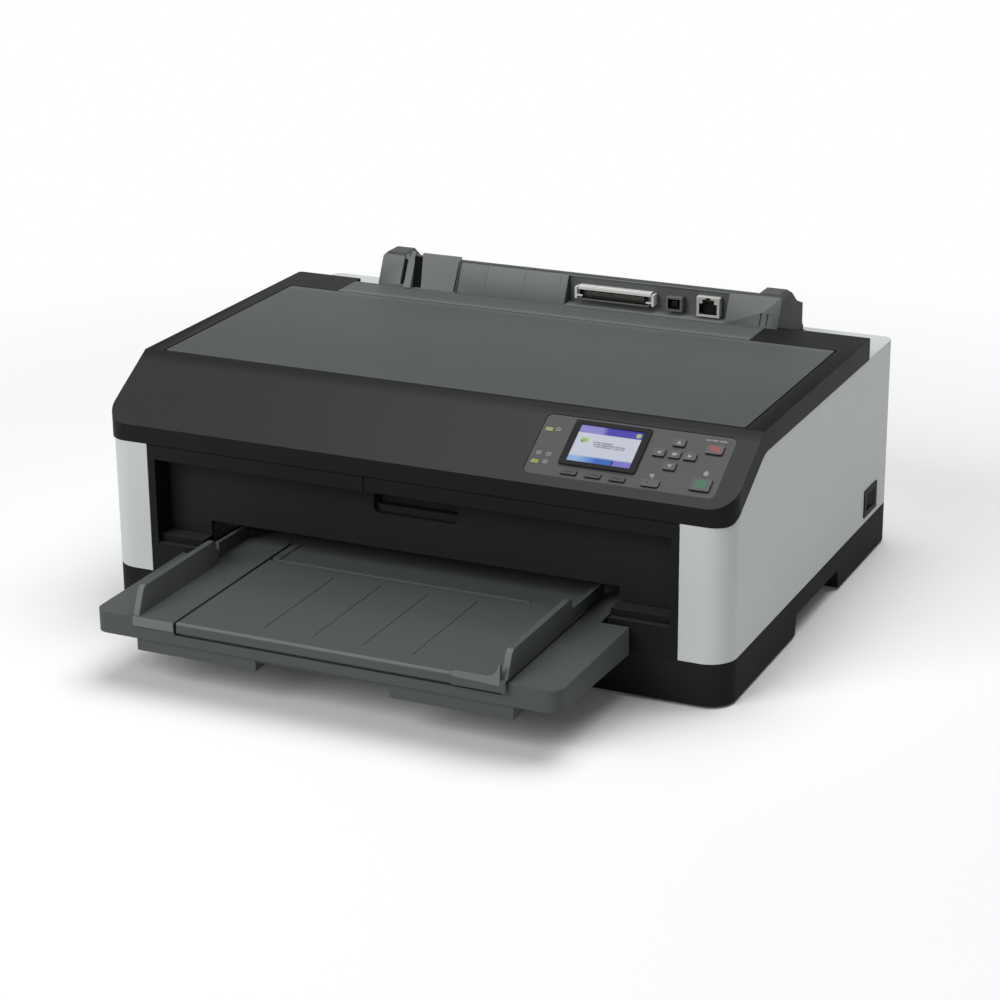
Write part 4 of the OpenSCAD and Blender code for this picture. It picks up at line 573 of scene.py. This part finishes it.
def guideFace(face):                     # painted shade: 1 the recess of the sockets, 2 the tops, the right end and the recess's left wall, 3 the ends' fronts
    at, normal = face.calc_center_median(), face.normal
    low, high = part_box("rear_guide")
    if normal.x > 0.8 and -0.006 < at.x < -0.004 and at.z > 0.181:
        return 2
    upright = abs(normal.x) > 0.8 or abs(normal.z) < 0.05
    if -0.006 < at.x < 0.131 and 0.181 < at.z < 0.2 and at.y > 0.1705 and upright:
        return 1
    if (normal.z > 0.6 and at.z > 0.195) or (normal.x > 0.8 and at.x > high[0] - 0.002):
        return 2
    return 3 * int(normal.y < -0.5 and at.z > 0.181 and (at.x > 0.152 or at.x < low[0] + 0.0185))


def parallelFace(face):                  # 1 painted shade inside, 2 the contact tongue, 3 a painted highlight on the top, the front and the clips
    low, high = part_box("parallel_port")
    at = face.calc_center_median()
    if at.x < low[0] + 0.0019 or at.x > high[0] - 0.0019 or at.z > high[2] - 0.0002 or at.y < low[1] + 0.0009:
        return 3
    level = abs(at.z - (low[2] + high[2]) / 2) < 0.0021
    if level and low[0] + 0.008 < at.x < high[0] - 0.008 and at.y > low[1] + 0.0015:
        return 2
    return int(low[2] + 0.0011 < at.z < high[2] - 0.0011 and low[0] + 0.0035 < at.x < high[0] - 0.0035
               and at.y > low[1] + 0.0012)


def guideEnd(face, front):               # the front ends of an edge guide, behind a place in y, which get a painted highlight
    return int(face.normal.y < -0.3 and front < face.calc_center_median().y < -0.215)


paintedFaces = {                         # node: other finishes, and which of them a face gets (0 is the node's own); most are painted light or shade
    "upper_case": (["blackPlastic", "caseTopShade", "paintedShadow"], caseFace),
    "rear_guide": (["bayShadeSideLight", "guideShaded", "earShade"], guideFace),
    # painted light on the sill's top faces
    "front_frame": (["sillTopLight"], lambda face: int(face.normal.z > 0.8 and face.calc_center_median().z < 0.066)),
    # painted highlight on the guides' front ends; painted light on the left guide's inner side
    "edge_guide_left": (["paintedLipHighlight", "bayShadeSideLight"],
                        lambda face: guideEnd(face, -0.2430) or 2 * int(face.normal.x > 0.8)),
    "edge_guide_right": (["paintedLipHighlight"], lambda face: guideEnd(face, -0.2418)),
    # painted shade inside the sockets' openings
    "usb_port": (["socketHollowShade"], inSocket("usb_port", 0.001)),
    "lan_port": (["socketHollowShade"], inSocket("lan_port", 0.0012)),
    "parallel_port": (["socketHollowShade", "tonguePlastic", "shellHighlight"], parallelFace),
}
rimHighlightZones = {                           # where a rounded edge of these nodes gets its strongest painted highlight
    "upper_case": lambda at: at.y < -0.1150 and 0.1425 < at.z < 0.1475,
    "lid": lambda at: at.y < -0.0510,
    "tray_table": lambda at: at.y < -0.2385 and at.z > 0.0525,
    "tray_base": lambda at: at.y < -0.2250 and at.z > 0.0500,
    "rear_strip": lambda at: at.y < 0.1435,
    "front_frame": lambda at: at.z < 0.066,
}


finShape = {                             # metres: height, the fin's left and right side, its plate's left side
    "foot": (0.1720, -0.1420, -0.1345, -0.1270),
    "head": (0.2065, -0.1415, -0.1380, -0.1315),
}


def finLines(z):
    low, high = finShape["foot"], finShape["head"]
    up = (z - low[0]) / (high[0] - low[0])
    return [low[i] + (high[i] - low[i]) * up for i in (1, 2, 3)]


def openFin(at):                         # the fin widens to its foot, and the plate starts further from it
    left, right, plate = finLines(at.z)
    if at.x < -0.1398:
        at.x = left + (right - left) * (at.x + 0.144) / 0.004
    elif at.x < -0.1310:
        at.x += plate + 0.1335


reshaped = {"rear_edge_guide": openFin}
rimHighlightLevels = {"lit": 1.8, "dull": 0.35}   # how much a rounded edge's wear and painted highlight count inside and outside its rule


def roundedShell(node, radius, rings, crease):
    # sharp edges are rounded; where a rounding would stray off the solid, that corner stays sharp
    base = bmesh.new()
    base.from_mesh(nodes[node].data)
    bmesh.ops.remove_doubles(base, verts=base.verts, dist=2e-6)
    bmesh.ops.dissolve_limit(base, angle_limit=math.radians(0.4), verts=base.verts, edges=base.edges)
    base.verts.index_update()
    seed = base.verts.layers.int.new("seed")
    for v in base.verts:
        v[seed] = v.index
    home = [v.co.copy() for v in base.verts]
    near = KDTree(len(home))
    for i, place in enumerate(home):
        near.insert(place, i)
    near.balance()
    skin = BVHTree.FromBMesh(base)
    kept = set()
    for attempt in range(14):
        shell = base.copy()
        seed = shell.verts.layers.int["seed"]
        edges = [e for e in shell.edges if len(e.link_faces) == 2
                 and e.calc_face_angle(0.0) > math.radians(crease)
                 and e.verts[0][seed] not in kept and e.verts[1][seed] not in kept]
        if not edges:
            ridge = set()
            break
        made = bmesh.ops.bevel(shell, geom=edges, offset=radius, offset_type="OFFSET", segments=rings,
                               profile=0.5, affect="EDGES", clamp_overlap=False, miter_outer="SHARP")
        ridge = set(made["faces"])
        seed = shell.verts.layers.int["seed"]
        stray = set()
        for v in shell.verts:            # the layer is mixed at a few corners, so an odd value means the nearest corner
            source = v[seed] if 0 <= v[seed] < len(home) else near.find(v.co)[1]
            if skin.find_nearest(v.co)[3] > 1.2 * radius or (v.co - home[source]).length > 4.5 * radius:
                stray |= {source} if source not in kept else {hit[1] for hit in near.find_n(v.co, 4)}
        if not stray - kept:
            break
        kept |= stray
        if attempt < 13:
            shell.free()
    base.free()
    if kept:
        print(node, "corners left sharp:", len(kept), "after", attempt + 1)
    return shell, ridge


def moulded(node, finish, radius, rings, crease=27.0):
    # a copy of the node's solid with its edges rounded; "rim" marks the rounded ridges, weighted for their wear and
    # painted highlight
    shell, ridge = roundedShell(node, radius, rings, crease)
    mark = shell.verts.layers.float.new("rim")
    for v in shell.verts if node in reshaped else ():
        reshaped[node](v.co)
    others, rule = paintedFaces.get(node, ([], None))
    for v in shell.verts:
        weight = (rimHighlightLevels["lit"] if rimHighlightZones[node](v.co) else rimHighlightLevels["dull"]) if node in rimHighlightZones else 1.0
        v[mark] = weight if v.link_faces and all(face in ridge for face in v.link_faces) else 0.0
    for face in shell.faces:
        face.smooth = True
        face.material_index = int(rule(face)) if rule else 0
    for edge in shell.edges:
        edge.smooth = len(edge.link_faces) == 2 and edge.calc_face_angle(0.0) < math.radians(38)
    piece = newPiece(node + "Moulding", shell, finishes[finish])
    for other in others:
        piece.data.materials.append(finishes[other].material)
    tidy = piece.modifiers.new("evenShading", "WEIGHTED_NORMAL")
    tidy.keep_sharp, tidy.weight = True, 80
    body = nodes[node]["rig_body"]
    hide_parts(node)
    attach(piece, body)
    return piece


def newPiece(name, shell, finish):
    mesh = bpy.data.meshes.new(name)
    shell.to_mesh(mesh)
    shell.free()
    piece = bpy.data.objects.new(name, mesh)
    scene.collection.objects.link(piece)
    mesh.materials.append(finish.material)
    return piece


for node in mouldings:
    if node.startswith("button"):        # a key's upright sides get painted shade
        paintedFaces[node] = (["keyShade"], lambda face: int(face.normal.dot(slopeUp) < 0.6))
for node, (finish, radius, rings) in mouldings.items():
    moulded(node, finish, radius, rings)
print(len(mouldings), "mouldings rounded")


def flatMark(shell, outline, lift, thick):
    # a thin printed mark on the control face: outline in (x, way up the slope), counter-clockwise
    top = [shell.verts.new(slopePoint(x, along, lift + thick)) for x, along in outline]
    low = [shell.verts.new(slopePoint(x, along, lift - thick)) for x, along in outline]
    shell.faces.new(top)
    shell.faces.new(low[::-1])
    for i in range(len(top)):
        j = (i + 1) % len(top)
        shell.faces.new((low[i], low[j], top[j], top[i]))


def barMark(x, along, width, height, bend=0.0):
    w, h = width / 2, height / 2
    return [(x - w + bend, along - h), (x + w + bend, along - h), (x + w - bend, along + h), (x - w - bend, along + h)]


def roundMark(x, along, width, height, corner, steps=5):
    outline = []
    for sx, sy, start in ((1, -1, -90), (1, 1, 0), (-1, 1, 90), (-1, -1, 180)):
        for k in range(steps + 1):
            turn = math.radians(start + 90 * k / steps)
            outline.append((x + sx * (width / 2 - corner) + corner * math.cos(turn),
                            along + sy * (height / 2 - corner) + corner * math.sin(turn)))
    return outline


def arrowMark(x, along, size, turn):
    shape = [(-0.5, -0.42), (0.5, -0.42), (0.0, 0.5)]
    c, n = math.cos(math.radians(turn)), math.sin(math.radians(turn))
    return [(x + size * (px * c - py * n), along + size * (px * n + py * c)) for px, py in shape]


def printed(name, outlines, lift, thick, finish, body):
    shell = bmesh.new()
    for outline in outlines:
        flatMark(shell, outline, lift, thick)
    bmesh.ops.recalc_face_normals(shell, faces=shell.faces)
    piece = newPiece(name, shell, finishes[finish])
    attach(piece, body)
    return piece


panelPrint = {                           # metres on the control face, as (x, way up the slope)
    "plate": -0.0004,                    # the plate lies this far under the case's slope
    "film": 0.00003,                     # half the thickness of a printed film
    "keyTop": 0.0007,                    # top of the keys over the slope
    "navigation": (0.1878, 0.0419, 0.0112, 0.0107),   # middle and pitch of the arrow keys
    "stop": (0.2139, 0.0507), "start": (0.2139, 0.0194), "back": (0.1796, 0.0146),
    "functionKeys": (0.12056, 0.1382, 0.15584), "functionRow": 0.0142,
}


def buildPanelPrint(spec):
    film, plate, top = spec["film"], spec["plate"], spec["keyTop"]
    icons = []
    for x, along in ((0.0996, 0.0505), (0.0933, 0.0281), (0.1007, 0.0278), (0.1004, 0.0210)):
        icons += [barMark(x, along + 0.0012, 0.0034, 0.0006), barMark(x, along - 0.0012, 0.0034, 0.0006),
                  barMark(x - 0.0015, along, 0.0005, 0.0018), barMark(x + 0.0015, along, 0.0005, 0.0018),
                  barMark(x, along, 0.0014, 0.0007)]
    icons += [barMark(0.2065, 0.0588, 0.0036, 0.0010), barMark(0.2114, 0.0590, 0.0044, 0.0011),
              barMark(0.2172, 0.0590, 0.0052, 0.0011)]
    icons += [roundMark(0.2142, 0.0298, 0.0034, 0.0034, 0.0008), arrowMark(0.2142, 0.0323, 0.0016, 0)]
    icons += [roundMark(0.1783, 0.0221, 0.0030, 0.0026, 0.0008), arrowMark(0.1790, 0.0200, 0.0018, 200)]
    printed("panelIcons", icons, plate, film, "panelInk", "chassis")
    x, along, stepX, stepS = spec["navigation"]
    # painted shadows: dark rings a little right of and below the keys, and strips under the function keys
    shadowRings = []
    for i, j in ((0, 1), (0, -1), (-1, 0), (1, 0)):
        shadowRings.append(roundMark(x + i * stepX + 0.00035, along + j * stepS - 0.0004, 0.0099, 0.0079, 0.0018))
    for (kx, ks), w, h in ((spec["stop"], 0.0134, 0.0096), (spec["start"], 0.0156, 0.0122)):
        shadowRings.append(roundMark(kx + 0.0004, ks - 0.0005, w, h, 0.0020))
    for kx in spec["functionKeys"]:
        shadowRings.append(barMark(kx, spec["functionRow"] - 0.0022, 0.0118, 0.0010))
    printed("keyShadowRings", shadowRings, plate, film * 0.7, "darkInkAndShadow", "chassis")
    for name, i, j, turn in (("up", 0, 1, 0), ("down", 0, -1, 180), ("left", -1, 0, 90), ("right", 1, 0, -90)):
        printed("arrow_" + name, [arrowMark(x + i * stepX, along + j * stepS, 0.0031, turn)], top, film,
                "keyInk", "button_" + name)
    printed("mark_ok", [roundMark(x, along, 0.0034, 0.0022, 0.0009)], top, film, "keyInk", "button_ok")
    kx, ks = spec["stop"]
    printed("mark_stop", [barMark(kx, ks, 0.0074, 0.0052, 0.0008)], top, film, "redInk", "button_stop")
    kx, ks = spec["start"]
    printed("mark_start", [roundMark(kx, ks, 0.0078, 0.0072, 0.0010)], top, film, "greenInk", "button_start")
    kx, ks = spec["back"]
    printed("mark_back", [arrowMark(kx - 0.0022, ks, 0.0018, 90)], top, film, "darkInkAndShadow", "button_back")
    for n, kx in enumerate(spec["functionKeys"]):
        printed("mark_f%d" % (n + 1), [barMark(kx, spec["functionRow"], 0.0064, 0.0009)], top, film, "darkInkAndShadow",
                "button_f%d" % (n + 1))


buildPanelPrint(panelPrint)
print("panel print done")


def sheetOf(name, front, thick, finish, body):
    # a thin sheet: its front outline, counter-clockwise as seen from outside, and the vector back to its rear face
    shell = bmesh.new()
    top = [shell.verts.new(Vector(at)) for at in front]
    low = [shell.verts.new(Vector(at) + Vector(thick)) for at in front]
    shell.faces.new(top)
    shell.faces.new(low[::-1])
    for i in range(len(top)):
        j = (i + 1) % len(top)
        shell.faces.new((low[i], low[j], top[j], top[i]))
    bmesh.ops.recalc_face_normals(shell, faces=shell.faces)
    piece = newPiece(name, shell, finishes[finish])
    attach(piece, body)
    return piece


def frontOf(node, x, z):                 # y of a node's front at a place
    shell = bmesh.new()
    shell.from_mesh(nodes[node].data)
    hit = BVHTree.FromBMesh(shell).ray_cast(Vector((x, -0.4, z)), Vector((0, 1, 0)))[0]
    shell.free()
    return hit.y


trayShadowSheets = {                             # metres
    "channel": (-0.1225, -0.1119, -0.2384, -0.0765),   # painted shadow in the gap that the left guide's foot runs beside: x, x, y, y
    "deck": 0.0457,
    "notch": (-0.1146, -0.1118, 0.0440, 0.0514),       # painted shadow at its open front end: x, x, z, z
}


# painted shadows: a dark sheet in the gap beside the left guide's foot, and one at the gap's front end
def buildTrayShadows(spec):
    body = nodes["tray_table"]["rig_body"]
    x0, x1, y0, y1 = spec["channel"]
    z = spec["deck"] + 0.0001
    sheetOf("guideChannelShadow", [(x0, y0, z), (x1, y0, z), (x1, y1, z), (x0, y1, z)], (0, 0, -0.00012), "paintedShadow", body)
    x0, x1, z0, z1 = spec["notch"]
    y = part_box("tray_base")[0][1] - 0.00006
    sheetOf("channelMouthShadow", [(x0, y, z0), (x1, y, z0), (x1, y, z1), (x0, y, z1)], (0, 0.0001, 0), "paintedShadow", body)


rolledEdgeHighlights = {                              # metres
    "film": 0.00005,                     # how far a film stands off the face under it
    "edge": [(-0.00004, -0.0013), (-0.00005, -0.00045), (0.00012, -0.00010), (0.00045, 0.00005),
             (0.0019, 0.00005), (0.0019, -0.00002), (0.00045, -0.00002), (0.00018, -0.00018),
             (0.00004, -0.0005), (0.00005, -0.0013)],   # y and z of the table's rolled edge
    "inset": 0.0004,
    "foot": (0.0522, 0.0554, 0.0566),    # heights of the curl: bottom, left top, flat top
    "wall": (0.0508, 0.0657),            # its heights at the wall
    "curl": (0.0135, 0.0658, 0.009),     # x from the right end, z and radius of the curl
}


def buildEdgeHighlights(spec):                     # painted highlights on rolled edges: the table's front, and the curl of the right guide's foot
    low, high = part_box("tray_table")
    inset, y, z = spec["inset"], low[1], high[2] - spec["inset"]
    sheetOf("tableEdgeHighlight", [(low[0] + inset, y + a, z + b) for a, b in spec["edge"]],
            (high[0] - low[0] - 2 * inset, 0, 0), "paintedLipHighlight", nodes["tray_table"]["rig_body"])
    low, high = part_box("edge_guide_right")
    y, start, end = low[1] - spec["film"], low[0], high[0]
    bottom, leftTop, flatTop = spec["foot"]
    wallLow, wallTop = spec["wall"]
    back, middle, radius = spec["curl"]
    outline = [(start + inset, bottom), (end - 0.0042, wallLow), (end - 0.0036, wallTop), (end - 0.0044, wallTop)]
    for i in range(5, 0, -1):
        turn = math.radians(18 * i)
        outline.append((end - back + radius * math.sin(turn) - 0.0002, middle - radius * math.cos(turn) - 0.0002))
    outline += [(end - back - 0.0002, flatTop), (start + 0.0042, flatTop), (start + inset, leftTop)]
    sheetOf("footCurlHighlight", [(x, y, z) for x, z in outline], (0, 0.0001, 0), "paintedLipHighlight",
            nodes["edge_guide_right"]["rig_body"])


finShadowSheets = {                              # metres
    "rows": (0.1835, 0.2025, 0.1985),    # heights at which the plate's and the guide's slant is measured
    "foot": 0.1815,
    "heads": {"right": 0.2040, "left": 0.2000, "end": 0.2035},
    "shadowLeft": -0.1478,
    "plateEndShadow": ((-0.0996, -0.0983), (-0.0990, -0.0983)),   # x of the painted shadow line at its foot and its head
}


def buildFinShadows(spec):                  # painted shadows beside the rear edge guide's fin, and along its plate's end
    body = nodes["rear_edge_guide"]["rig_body"]
    base, plateTop, guideTop = spec["rows"]

    def slant(node, x, top):             # y of a leaning face against height
        first, last = frontOf(node, x, base), frontOf(node, x, top)
        return lambda z: first + (last - first) * (z - base) / (top - base)

    def shadeSheet(name, lean, gap, foot, head, top):
        low = spec["foot"]
        front = [(foot[0], lean(low) - gap, low), (foot[1], lean(low) - gap, low),
                 (head[1], lean(top) - gap, top), (head[0], lean(top) - gap, top)]
        sheetOf(name, front, (0, 0.0001, 0), "paintedShadow", body)

    plate, guide = slant("rear_edge_guide", -0.115, plateTop), slant("rear_guide", -0.1465, guideTop)
    heads, foot, left = spec["heads"], finLines(spec["foot"]), spec["shadowLeft"]
    head = finLines(heads["right"])
    shadeSheet("finShadowRight", plate, 0.00015, (foot[1] - 0.0002, foot[2] + 0.0001),
        (head[1] - 0.0002, head[2] + 0.0001), heads["right"])
    head = finLines(heads["left"])
    shadeSheet("finShadowLeft", guide, 0.0002, (left, foot[0] + 0.0003), (left, head[0] + 0.0003), heads["left"])
    shadeSheet("plateEndShadow", plate, 0.00015, *spec["plateEndShadow"], heads["end"])


socketTrim = {                           # metres
    "topHighlightProfile": [(0.00082, -0.0027), (0.00080, -0.0008), (0.00100, -0.0002), (0.00150, 0.00008), (0.0048, 0.00012),
             (0.0048, 0.00002), (0.00155, -0.00002), (0.00110, -0.0003), (0.00094, -0.0009), (0.00096, -0.0027)],
    "topHighlightInset": 0.0027,
    "notch": [(-0.0036, 0.0027), (0.0036, 0.0027), (0.0036, 0.0018), (0.0018, 0.0018), (0.0018, 0.0005),
              (-0.0018, 0.0005), (-0.0018, 0.0018), (-0.0036, 0.0018)],   # x from the middle, and down from the top
    "step": (0.0048, 0.0074, 0.0052, 0.0018),   # x from and to the middle, and down from the top
}


def buildSocketTrim(spec):
    low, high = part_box("parallel_port")
    inset = spec["topHighlightInset"]
    # painted highlight: a bright sheet around the parallel socket's top front edge
    sheetOf("shellTopHighlight", [(low[0] + inset, low[1] + a, high[2] + b) for a, b in spec["topHighlightProfile"]],
            (high[0] - low[0] - 2 * inset, 0, 0), "shellHighlight", "chassis")
    low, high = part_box("lan_port")
    y, mid, top = low[1] - rolledEdgeHighlights["film"], (low[0] + high[0]) / 2, high[2]
    # painted shade: a dark sheet in the network socket's latch notch
    sheetOf("latchNotch", [(mid + a, y, top - b) for a, b in spec["notch"]], (0, 0.0004, 0), "socketHollowShade", "chassis")
    inner, outer, foot, head = spec["step"]
    y += 0.0003
    for side, name in ((-1, "Left"), (1, "Right")):     # the stepped top of the opening
        x0, x1 = sorted((mid + side * inner, mid + side * outer))
        sheetOf("latchStep" + name, [(x0, y, top - foot), (x1, y, top - foot), (x1, y, top - head), (x0, y, top - head)],
                (0, 0.0040, 0), "socketShell", "chassis")


buildTrayShadows(trayShadowSheets)
buildEdgeHighlights(rolledEdgeHighlights)
buildFinShadows(finShadowSheets)
buildSocketTrim(socketTrim)
print("tray, fin and socket trim done")


def rowTree():                           # rows of small bars: contacts, teeth, pins
    tree = bpy.data.node_groups.new("barRow", "GeometryNodeTree")
    face = tree.interface
    face.new_socket("Bars", in_out="OUTPUT", socket_type="NodeSocketGeometry")
    kinds = {"Start": "NodeSocketVector", "Step": "NodeSocketVector", "Count": "NodeSocketInt",
             "Size": "NodeSocketVector", "Finish": "NodeSocketMaterial"}
    names = {key: face.new_socket(key, in_out="INPUT", socket_type=kind).identifier for key, kind in kinds.items()}
    given = tree.nodes.new("NodeGroupInput")
    line = tree.nodes.new("GeometryNodeMeshLine")
    line.mode = "OFFSET"
    bar = tree.nodes.new("GeometryNodeMeshCube")
    place = tree.nodes.new("GeometryNodeInstanceOnPoints")
    real = tree.nodes.new("GeometryNodeRealizeInstances")
    paint = tree.nodes.new("GeometryNodeSetMaterial")
    out = tree.nodes.new("NodeGroupOutput")
    for a, b in ((given.outputs["Count"], line.inputs["Count"]),
                 (given.outputs["Start"], line.inputs["Start Location"]),
                 (given.outputs["Step"], line.inputs["Offset"]), (given.outputs["Size"], bar.inputs["Size"]),
                 (line.outputs[0], place.inputs["Points"]), (bar.outputs[0], place.inputs["Instance"]),
                 (place.outputs[0], real.inputs[0]), (real.outputs[0], paint.inputs["Geometry"]),
                 (given.outputs["Finish"], paint.inputs["Material"]), (paint.outputs[0], out.inputs[0])):
        tree.links.new(a, b)
    return tree, names


def barRow(name, start, step, count, size, finish, body):
    tree, names = rowPattern
    carrier = bpy.data.objects.new(name + "Carrier", bpy.data.meshes.new(name + "Carrier"))
    scene.collection.objects.link(carrier)
    row = carrier.modifiers.new("row", "NODES")
    row.node_group = tree
    for key, value in (("Start", start), ("Step", step), ("Count", count), ("Size", size),
                       ("Finish", finishes[finish].material)):
        row[names[key]] = value
    shape = bpy.data.meshes.new_from_object(carrier.evaluated_get(bpy.context.evaluated_depsgraph_get()))
    bpy.data.objects.remove(carrier)
    piece = bpy.data.objects.new(name, shape)
    scene.collection.objects.link(piece)
    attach(piece, body)
    return piece


rowPattern = rowTree()


def buildSocketContacts():
    low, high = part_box("parallel_port")
    mid = (low[2] + high[2]) / 2
    for side, z in (("Top", mid + 0.00125), ("Low", mid - 0.00125)):
        barRow("parallelContacts" + side, (low[0] + 0.0105, low[1] + 0.0038, z), (0.00216, 0, 0), 22,
               (0.0009, 0.0030, 0.00022), "pinionBrass", "chassis")
    low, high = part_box("lan_port")
    barRow("networkContacts", (low[0] + 0.0057, low[1] + 0.0032, high[2] - 0.0032), (0.00102, 0, 0), 8,
           (0.00035, 0.0030, 0.00035), "pinionBrass", "chassis")
    low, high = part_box("usb_port")
    barRow("hostContacts", (low[0] + 0.0052, low[1] + 0.0032, low[2] + 0.0071), (0.0026, 0, 0), 2,
           (0.0008, 0.0024, 0.00018), "pinionBrass", "chassis")


def buildBeltTeeth():
    low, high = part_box("drive_belt")
    z, count = (low[2] + high[2]) / 2, 158
    for run, y in (("Front", low[1] + 0.0014), ("Rear", high[1] - 0.0014)):
        barRow("beltTeeth" + run, (-0.157, y + (0.0003 if run == "Front" else -0.0003), z), (0.002, 0, 0), count,
               (0.0009, 0.0009, 0.0056), "footRubber", "chassis")


buildSocketContacts()
buildBeltTeeth()
print("contacts and belt teeth done")

keptNodes = {
    "feet": "footRubber",
    "chassis_plate": "sheetSteel", "frame_left": "sheetSteel", "frame_right": "sheetSteel",
    "carriage_shaft": "barSteel", "carriage_rail": "sheetSteel", "carriage": "blackPlastic",
    "print_head": "headAlloy", "ribbon_cartridge": "blackPlastic", "ribbon_knob": "gearPlastic",
    "drive_belt": "footRubber", "carriage_motor": "motorCan", "motor_pulley": "gearPlastic",
    "idler_pulley": "gearPlastic", "platen": "caseDark", "feed_roller_front": "footRubber",
    "feed_roller_rear": "footRubber", "pinch_roller_front": "gearPlastic", "pinch_roller_rear": "gearPlastic",
    "idler_gear": "gearPlastic", "motor_pinion": "pinionBrass", "feed_motor": "motorCan",
    "main_board": "boardMask", "power_supply": "sheetSteel", "screws": "barSteel",
    "lcd_screen": "displayPicture", "led_lenses": "lampGlow",
}
for node, finish in keptNodes.items():
    mesh = nodes[node].data
    mesh.materials.clear()
    mesh.materials.append(finishes[finish].material)
print(len(keptNodes), "nodes given their finish")
